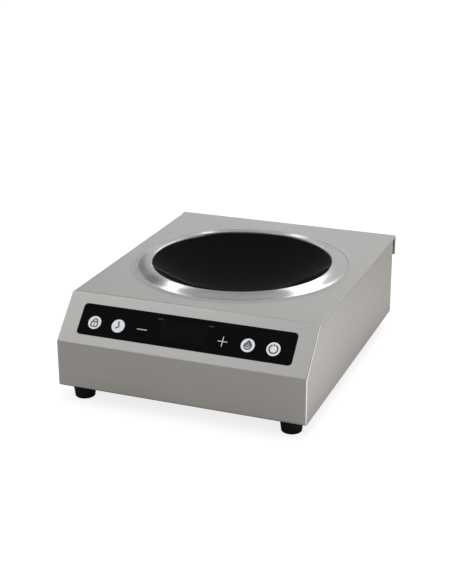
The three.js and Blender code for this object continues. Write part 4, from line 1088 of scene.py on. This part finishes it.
class HOB_OT_keys(bpy.types.Operator):
    """Builds the six keys and the signs on them"""

    bl_idname = "hob.keys"
    bl_label = "Build Keys"

    def execute(self, context):
        controls = context.scene.hob_controls
        matrix = slope_matrix(context.scene.hob_casing)
        white = moulded("White Key", controls.key, 0.32, 1800.0, 0.006 * MM, 0.03)
        acrylic = black_acrylic("Black Acrylic", controls.strip)
        ink = moulded("Sign Ink", controls.ink, 0.5, 3000.0)
        paint = moulded("Sign Paint", controls.sign, 0.45, 3000.0)
        for name in KEYS:
            low, high = slope_box(name, matrix)
            middle = (low + high) / 2
            place = matrix @ Matrix.Translation((middle.x, middle.y, 0))
            bm = bmesh.new()
            turned(bm, self.cap_profile(controls, key_size(controls, name), low.z, high.z), 64)
            if name in SIGN_KEYS:
                slot, face, drawn = "fascia", acrylic, paint
            else:
                slot, face, drawn = "key_white", white, ink
            cap = piece(f"{name}_cap", bm, face, name, [name], place)
            if face is white:
                self.blacken_rim(cap, acrylic, place.translation, controls.disc_radius)
            bm = bmesh.new()
            top = high.z - KEY_DISH * 0.5
            for points, radius, closed in SIGNS[name]:
                seats = [(x * MM, y * MM, top) for x, y in points]
                stroke_mesh(bm, seats, radius * MM, closed)
            for vertex in bm.verts:
                vertex.co.z = top + (vertex.co.z - top) * SIGN_FLATNESS
            piece(f"{name}_sign", bm, drawn, name, (), place, normal_weight=0)
        return {"FINISHED"}

    @staticmethod
    def cap_profile(controls, radius, low, high):
        """The dished face, rounded edge, flange and stem of a key"""
        profile = [(0.5 * MM, high - KEY_DISH)]
        for reach in (3 * MM, 5 * MM, controls.disc_radius * 0.8, controls.disc_radius):
            share = min(reach / radius, 0.93)
            profile.append((radius * share, high - KEY_DISH * (1 - share**2)))
        for k in range(6):
            angle = pi / 2 * k / 5
            inward, down = KEY_EDGE * (1 - sin(angle)), KEY_EDGE * (1 - cos(angle))
            profile.append((radius - inward, high - down))
        profile.append((radius, FLANGE_TOP))
        flange = radius + FLANGE_REACH
        profile += [(flange + out * MM, FLANGE_TOP + up * MM) for out, up in FLANGE_PROFILE]
        profile += [(out * MM, FLANGE_TOP + up * MM) for out, up in STEM_PROFILE]
        return profile + [(2.5 * MM, low + 0.3 * MM), (2.2 * MM, low)]

    @staticmethod
    def blacken_rim(cap, acrylic, centre, disc_radius):
        """Gives a white key black sides and a black rim round its disc"""
        cap.data.materials.append(acrylic)
        for face in cap.data.polygons:
            if (face.center - centre).length > disc_radius or face.normal.z < 0.5:
                face.material_index = 1


# ---------------------------------------------------------------------------
# Feet, screws and cable gland
# ---------------------------------------------------------------------------

FOOT_TAPER = 2.4 * MM
FOOT_BORE, FOOT_BORE_TOP = 6.5 * MM, 9 * MM  # of the recess for the screw's head
FOOT_SCREW_HEAD = (5 * MM, 3 * MM, 2.5 * MM)  # head radius, head height, shank radius
REAR_SCREW_HEAD = (3.4 * MM, 2 * MM, 1.6 * MM)
SCREW_SIDES = 48
SCREW_TURNS = 8
# Shares of a screw head's radius and height, from its face to its rim
SCREW_CROWN = ((0.66, 0.985), (0.78, 0.93), (0.90, 0.78), (0.97, 0.55), (1.0, 0.3), (1.0, 0.06))


def foot_profile(top, height):
    """Section of a foot with its screw recess, from the recess outwards and up"""
    base = top - FOOT_TAPER
    hole = FOOT_SCREW_HEAD[2] + 0.3 * MM
    return [
        (FOOT_BORE, FOOT_BORE_TOP, 0),
        (FOOT_BORE, 0, 0.6 * MM),
        (base, 0, 1.6 * MM),
        (base + 0.5 * MM, 4.2 * MM, 0.5 * MM),
        (base + 0.1 * MM, 4.8 * MM, 0.3 * MM),
        (base + 0.6 * MM, 5.4 * MM, 0.5 * MM),
        (top, height - 0.8 * MM, 0.6 * MM),
        (top - 0.4 * MM, height, 0.3 * MM),
        (hole, height, 0),
        (hole, FOOT_BORE_TOP, 0),
    ]


def pan_head_screw(bm, head, rise, shank, length):
    """A screw whose head stands on z = 0, with a cross recess and a shank below"""
    loops = [
        cross_loop(head * 0.30, head * 0.10, rise * 0.35, SCREW_SIDES),
        cross_loop(head * 0.58, head * 0.24, rise * 0.97, SCREW_SIDES),
    ]
    profile = [(head * share, rise * height) for share, height in SCREW_CROWN]
    profile += [(head * 0.97, 0), (shank * 1.02, 0)]
    tip = rise - length
    for k in range(SCREW_TURNS):
        at = tip * (0.12 + 0.78 * k / SCREW_TURNS)
        profile += [(shank, at), (shank * 0.86, at + tip * 0.39 / SCREW_TURNS)]
    profile += [(shank, tip * 0.93), (shank * 0.7, tip)]
    loops += [circle_loop(radius, height, SCREW_SIDES) for radius, height in profile]
    loft(bm, loops, True, True)


class HOB_OT_feet(bpy.types.Operator):
    """Builds the four rubber feet and the screws in them"""

    bl_idname = "hob.feet"
    bl_label = "Build Feet"

    def execute(self, context):
        rubber = moulded(
            "Foot Rubber", (0.006, 0.006, 0.006), 0.6, 1500.0, 0.04 * MM, specular=0.25
        )
        zinc = inner_finish("galvanised")
        for corner in FEET:
            low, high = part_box(f"foot_{corner}")
            middle = Vector(((low.x + high.x) / 2, (low.y + high.y) / 2, 0))
            bm = bmesh.new()
            profile = rounded_profile(foot_profile((high.y - low.y) / 2, high.z))
            turned(bm, profile, 64, capped=False)
            place = Matrix.Translation(middle)
            piece(f"foot_{corner}_rubber", bm, rubber, HOB, [f"foot_{corner}"], place)
            node = f"foot_screw_{corner}"
            low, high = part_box(node)
            bm = bmesh.new()
            pan_head_screw(bm, *FOOT_SCREW_HEAD, high.z - low.z)
            seat = Matrix.Translation((middle.x, middle.y, low.z + FOOT_SCREW_HEAD[1]))
            place = seat @ Matrix.Rotation(pi, 4, "X")
            piece(f"foot_{corner}_screw", bm, zinc, HOB, [node], place)
        return {"FINISHED"}


GLAND_THREAD, GLAND_GROOVE, GLAND_BORE = 8 * MM, 7.5 * MM, 4 * MM  # radii
GLAND_TURNS, GLAND_PITCH = 5, 1.5 * MM
GLAND_SIDES = 72
# The nut in millimetres: off its width across the flats, and out from the wall
GLAND_NUT = ((0.8, 0), (0, 0.4), (0, 4.6), (1.0, 5))
# The cap: share of the nut's corner radius, millimetres from the nut's wall or back from the tip,
# and depth of its twelve ribs in millimetres
GLAND_CAP_INNER = ((0.84, 5.3, 0), (0.92, 5.8, 0.9))
GLAND_CAP_OUTER = ((0.90, 4.5, 0.9), (0.82, 2.2, 0.4), (0.66, 0.5, 0), (0.55, 0, 0))


class HOB_OT_rear(bpy.types.Operator):
    """Builds the rear panel's screws and the cable gland"""

    bl_idname = "hob.rear"
    bl_label = "Build Rear Fittings"

    def execute(self, context):
        steel = inner_finish("polished_steel")
        for corner in REAR_SCREWS:
            node = f"rear_screw_{corner}"
            low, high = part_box(node)
            middle = ((low.x + high.x) / 2, high.y - REAR_SCREW_HEAD[1], (low.z + high.z) / 2)
            bm = bmesh.new()
            pan_head_screw(bm, *REAR_SCREW_HEAD, high.y - low.y)
            place = Matrix.Translation(middle) @ TO_REAR
            piece(f"{node}_head", bm, steel, HOB, [node], place)
        self.build_gland()
        return {"FINISHED"}

    def build_gland(self):
        low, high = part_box("cable_gland")
        middle = ((low.x + high.x) / 2, low.y, (low.z + high.z) / 2)
        reach = high.y - low.y
        wall = PANEL_HIGH.y + GAP - low.y
        outer = (high.x - low.x) / 2
        threaded = [(GLAND_BORE, 0), (GLAND_THREAD - 0.4 * MM, 0)]
        for k in range(GLAND_TURNS):
            at = 0.5 * MM + GLAND_PITCH * k
            threaded += [(GLAND_THREAD, at), (GLAND_GROOVE, at + GLAND_PITCH / 2)]
        threaded.append((GLAND_GROOVE, wall))
        loops = [circle_loop(radius, height, GLAND_SIDES) for radius, height in threaded]
        across = 2 * outer * cos(pi / 6)
        for cut, up in GLAND_NUT:
            loops.append(hexagon_loop(across - cut * MM, wall + up * MM, GLAND_SIDES))
        ribbed = [(share, wall + up * MM, depth) for share, up, depth in GLAND_CAP_INNER]
        ribbed += [(share, reach - back * MM, depth) for share, back, depth in GLAND_CAP_OUTER]
        for share, height, depth in ribbed:
            loops.append(circle_loop(outer * share, height, GLAND_SIDES, 12, depth * MM))
        for radius, height in ((GLAND_BORE + 0.5 * MM, reach), (GLAND_BORE, reach - 0.5 * MM)):
            loops.append(circle_loop(radius, height, GLAND_SIDES))
        bm = bmesh.new()
        loft(bm, loops, cyclic=True)
        plastic = moulded("Gland Moulding", (0.02, 0.02, 0.021), 0.42)
        place = Matrix.Translation(middle) @ TO_REAR
        piece("gland_body", bm, plastic, HOB, ["cable_gland"], place)


class HOB_OT_inner_parts(bpy.types.Operator):
    """Gives every remaining part of the frame its finish"""

    bl_idname = "hob.inner_parts"
    bl_label = "Finish Inner Parts"

    def execute(self, context):
        slots = {material["slot"] for material in frame["record"]["materials"]}
        for node in frame["nodes"].values():
            if node.hide_render:
                continue
            for holder in node.material_slots:
                slot = holder.material.name.split(".")[0]
                if slot not in slots:
                    raise RuntimeError(f"{node.name} has the unknown slot {slot}")
                holder.link = "OBJECT"
                holder.material = inner_finish(slot)
        return {"FINISHED"}


# ---------------------------------------------------------------------------
# Stage
# ---------------------------------------------------------------------------

FLOOR_HALF_SIZE = 12
FLOOR_GREY = (0.30, 0.30, 0.30, 1)
FLOOR_GLOW = 0.80
FLOOR_WARMTH = (1.03, 0.985, 0.945)
SKY_SEEN = 0.97
SKY_IN_GLOSS = 0.10
LIGHT_AIM = Vector((0, 0.02, 0.12))

# Softboxes: name, where they stand, width, height, roll in degrees, brightness, and what they light
SOFTBOXES = (
    ("overhead", (0.3, 0.4, 2.4), 1.8, 1.4, 0, 2.6, None),
    ("back_wall", (0.36, 3.0, 1.10), 5.6, 1.9, 0, 0.66, "metal"),
    ("back_ceiling", (-0.3, 2.0, 2.7), 4.0, 1.6, 0, 0.40, "metal"),
    ("mid_ceiling", (-0.5, 0.55, 2.75), 4.0, 1.5, 0, 0.50, "metal"),
    ("front_ceiling", (-1.3, -1.3, 2.6), 3.0, 2.6, 0, 0.60, "metal"),
    ("right_wall", (3.0, 0.6, 1.1), 3.6, 2.0, 0, 1.15, "metal"),
    ("left_wall", (-3.0, 0.2, 1.1), 4.4, 2.0, 0, 0.60, "metal"),
    ("front_wall", (0.0, -3.2, 1.3), 4.0, 1.8, 0, 0.48, "metal"),
    ("ring_left", (-1.10, 1.41, 1.50), 0.15, 0.90, -44, 5.0, "ring"),
    ("ring_right", (-0.143, 1.785, 1.485), 0.32, 1.00, 33, 5.0, "ring"),
    ("ring_far_left", (-1.27, 2.85, 0.50), 0.06, 0.4, 0, 7.0, "ring"),
    ("ring_far_right", (-0.80, 3.0, 0.52), 0.08, 0.4, 0, 6.0, "ring"),
)
LIT_PIECES = {"metal": ("casing_sheet", "spun_ring", "rear_panel"), "ring": ("spun_ring",)}

CAMERA_AZIMUTH, CAMERA_ELEVATION, CAMERA_ROLL = radians(21.585), radians(20.757), radians(-0.375)
CAMERA_LENS = 78.24
CAMERA_TARGET = Vector((-0.00648, -0.031, 0.11268))
CAMERA_DISTANCE = 1.71019


def floor_material():
    """Plain pale floor; it throws back less light than the camera sees, and most at the right"""
    made = bpy.data.materials.new("Pale Floor")
    made.use_nodes = True
    tree = made.node_tree
    graph = Graph(tree)
    tree.nodes.remove(tree.nodes["Principled BSDF"])
    lit = graph.add("ShaderNodeBsdfDiffuse", {"Color": FLOOR_GREY})
    glow = graph.add("ShaderNodeEmission", {"Color": (1, 1, 1, 1), "Strength": FLOOR_GLOW})
    seen = graph.add("ShaderNodeAddShader", {0: lit.outputs[0], 1: glow.outputs[0]})
    place = graph.place()
    beside = graph.span(graph.axis(place, "Y"), 0.88, 0.48, start=-0.1, end=0.45)
    right = graph.span(graph.axis(place, "X"), 0.0, 1.0, start=0.15, end=0.25)
    shade = graph.mix(right, 0.38, beside)
    warm = graph.vector("SCALE", FLOOR_WARMTH, scale=shade)[0]
    dim = graph.add("ShaderNodeBsdfDiffuse", {"Color": warm})
    ray = graph.add("ShaderNodeLightPath").outputs["Is Camera Ray"]
    both = graph.add("ShaderNodeMixShader", {0: ray, 1: dim.outputs[0], 2: seen.outputs[0]})
    set_input(graph, tree.nodes["Material Output"].inputs["Surface"], both.outputs[0])
    return made


def studio_world():
    """Soft even light from all round, brighter overhead"""
    world = bpy.data.worlds.new("Studio")
    world.use_nodes = True
    graph = Graph(world.node_tree)
    way = graph.add("ShaderNodeTexCoord").outputs["Generated"]
    level = graph.span(graph.axis(way, "Z"), 0.45, 0.9, start=-0.1, end=0.9)
    rays = graph.add("ShaderNodeLightPath").outputs
    seen = graph.mix(rays["Is Camera Ray"], level, SKY_SEEN)
    strength = graph.mix(rays["Is Glossy Ray"], seen, SKY_IN_GLOSS)
    shade = world.node_tree.nodes["Background"]
    shade.inputs["Color"].default_value = (1, 1, 1, 1)
    set_input(graph, shade.inputs["Strength"], strength)
    return world


class HOB_OT_stage(bpy.types.Operator):
    """Sets up the floor, the light and the camera"""

    bl_idname = "hob.stage"
    bl_label = "Set Up Stage"

    def execute(self, context):
        self.build_floor(context)
        context.scene.world = studio_world()
        receivers = {}
        for name, pieces in LIT_PIECES.items():
            receivers[name] = bpy.data.collections.new(f"{name}_pieces")
            for piece_name in pieces:
                receivers[name].objects.link(bpy.data.objects[piece_name])
        for name, spot, width, height, roll, brightness, lit in SOFTBOXES:
            light = bpy.data.lights.new(f"softbox_{name}", "AREA")
            light.shape = "RECTANGLE"
            light.size = width
            light.size_y = height
            light.energy = brightness * pi * width * height
            holder = bpy.data.objects.new(f"softbox_{name}", light)
            holder.location = spot
            aim = LIGHT_AIM - Vector(spot)
            turn = aim.to_track_quat("-Z", "Y") @ Quaternion((0, 0, 1), radians(roll))
            holder.rotation_euler = turn.to_euler()
            holder.visible_camera = False
            holder.visible_glossy = lit is not None
            context.scene.collection.objects.link(holder)
            if lit:
                holder.light_linking.receiver_collection = receivers[lit]
        self.place_camera(context)
        context.scene.view_settings.view_transform = "Standard"
        return {"FINISHED"}

    def build_floor(self, context):
        bm = bmesh.new()
        bmesh.ops.create_grid(bm, x_segments=8, y_segments=8, size=FLOOR_HALF_SIZE)
        mesh = bpy.data.meshes.new("floor")
        bm.to_mesh(mesh)
        bm.free()
        mesh.materials.append(floor_material())
        floor = bpy.data.objects.new("floor", mesh)
        context.scene.collection.objects.link(floor)

    def place_camera(self, context):
        back = Vector((sin(CAMERA_AZIMUTH), -cos(CAMERA_AZIMUTH), 0)) * cos(CAMERA_ELEVATION)
        back.z = sin(CAMERA_ELEVATION)
        right = Vector((cos(CAMERA_AZIMUTH), sin(CAMERA_AZIMUTH), 0))
        up = back.cross(right)
        across = right * cos(CAMERA_ROLL) + up * sin(CAMERA_ROLL)
        above = up * cos(CAMERA_ROLL) - right * sin(CAMERA_ROLL)
        lens = bpy.data.cameras.new("camera")
        lens.lens = CAMERA_LENS
        lens.sensor_width = 36
        lens.clip_start = 0.05
        lens.clip_end = 60
        camera = bpy.data.objects.new("camera", lens)
        place = Matrix((across, above, back)).transposed().to_4x4()
        place.translation = CAMERA_TARGET + back * CAMERA_DISTANCE
        camera.matrix_world = place
        context.scene.collection.objects.link(camera)
        context.scene.camera = camera


class HOB_PT_panel(bpy.types.Panel):
    """Sizes, colours and the steps that build the hob"""

    bl_idname = "HOB_PT_panel"
    bl_label = "Induction Hob"
    bl_space_type = "VIEW_3D"
    bl_region_type = "UI"
    bl_category = "Hob"

    def draw(self, context):
        for operator in OPERATORS:
            self.layout.operator(operator.bl_idname)
        for name in ("hob_casing", "hob_glass", "hob_controls"):
            box = self.layout.box()
            group = getattr(context.scene, name)
            box.label(text=name.replace("hob_", "").title())
            for key in group.__annotations__:
                box.prop(group, key)


OPERATORS = (
    HOB_OT_casing,
    HOB_OT_glass_and_ring,
    HOB_OT_control_strip,
    HOB_OT_keys,
    HOB_OT_feet,
    HOB_OT_rear,
    HOB_OT_inner_parts,
    HOB_OT_stage,
)
SETTINGS = (HobCasingSettings, HobGlassSettings, HobControlSettings)


def register():
    for cls in SETTINGS + OPERATORS + (HOB_PT_panel,):
        bpy.utils.register_class(cls)
    bpy.types.Scene.hob_casing = PointerProperty(type=HobCasingSettings)
    bpy.types.Scene.hob_glass = PointerProperty(type=HobGlassSettings)
    bpy.types.Scene.hob_controls = PointerProperty(type=HobControlSettings)


def unregister():
    del bpy.types.Scene.hob_casing
    del bpy.types.Scene.hob_glass
    del bpy.types.Scene.hob_controls
    for cls in reversed(SETTINGS + OPERATORS + (HOB_PT_panel,)):
        bpy.utils.unregister_class(cls)


def main():
    register()
    bpy.ops.hob.casing()
    bpy.ops.hob.glass_and_ring()
    bpy.ops.hob.control_strip()
    bpy.ops.hob.keys()
    bpy.ops.hob.feet()
    bpy.ops.hob.rear()
    bpy.ops.hob.inner_parts()
    bpy.ops.hob.stage()


if __name__ == "__main__":
    main()
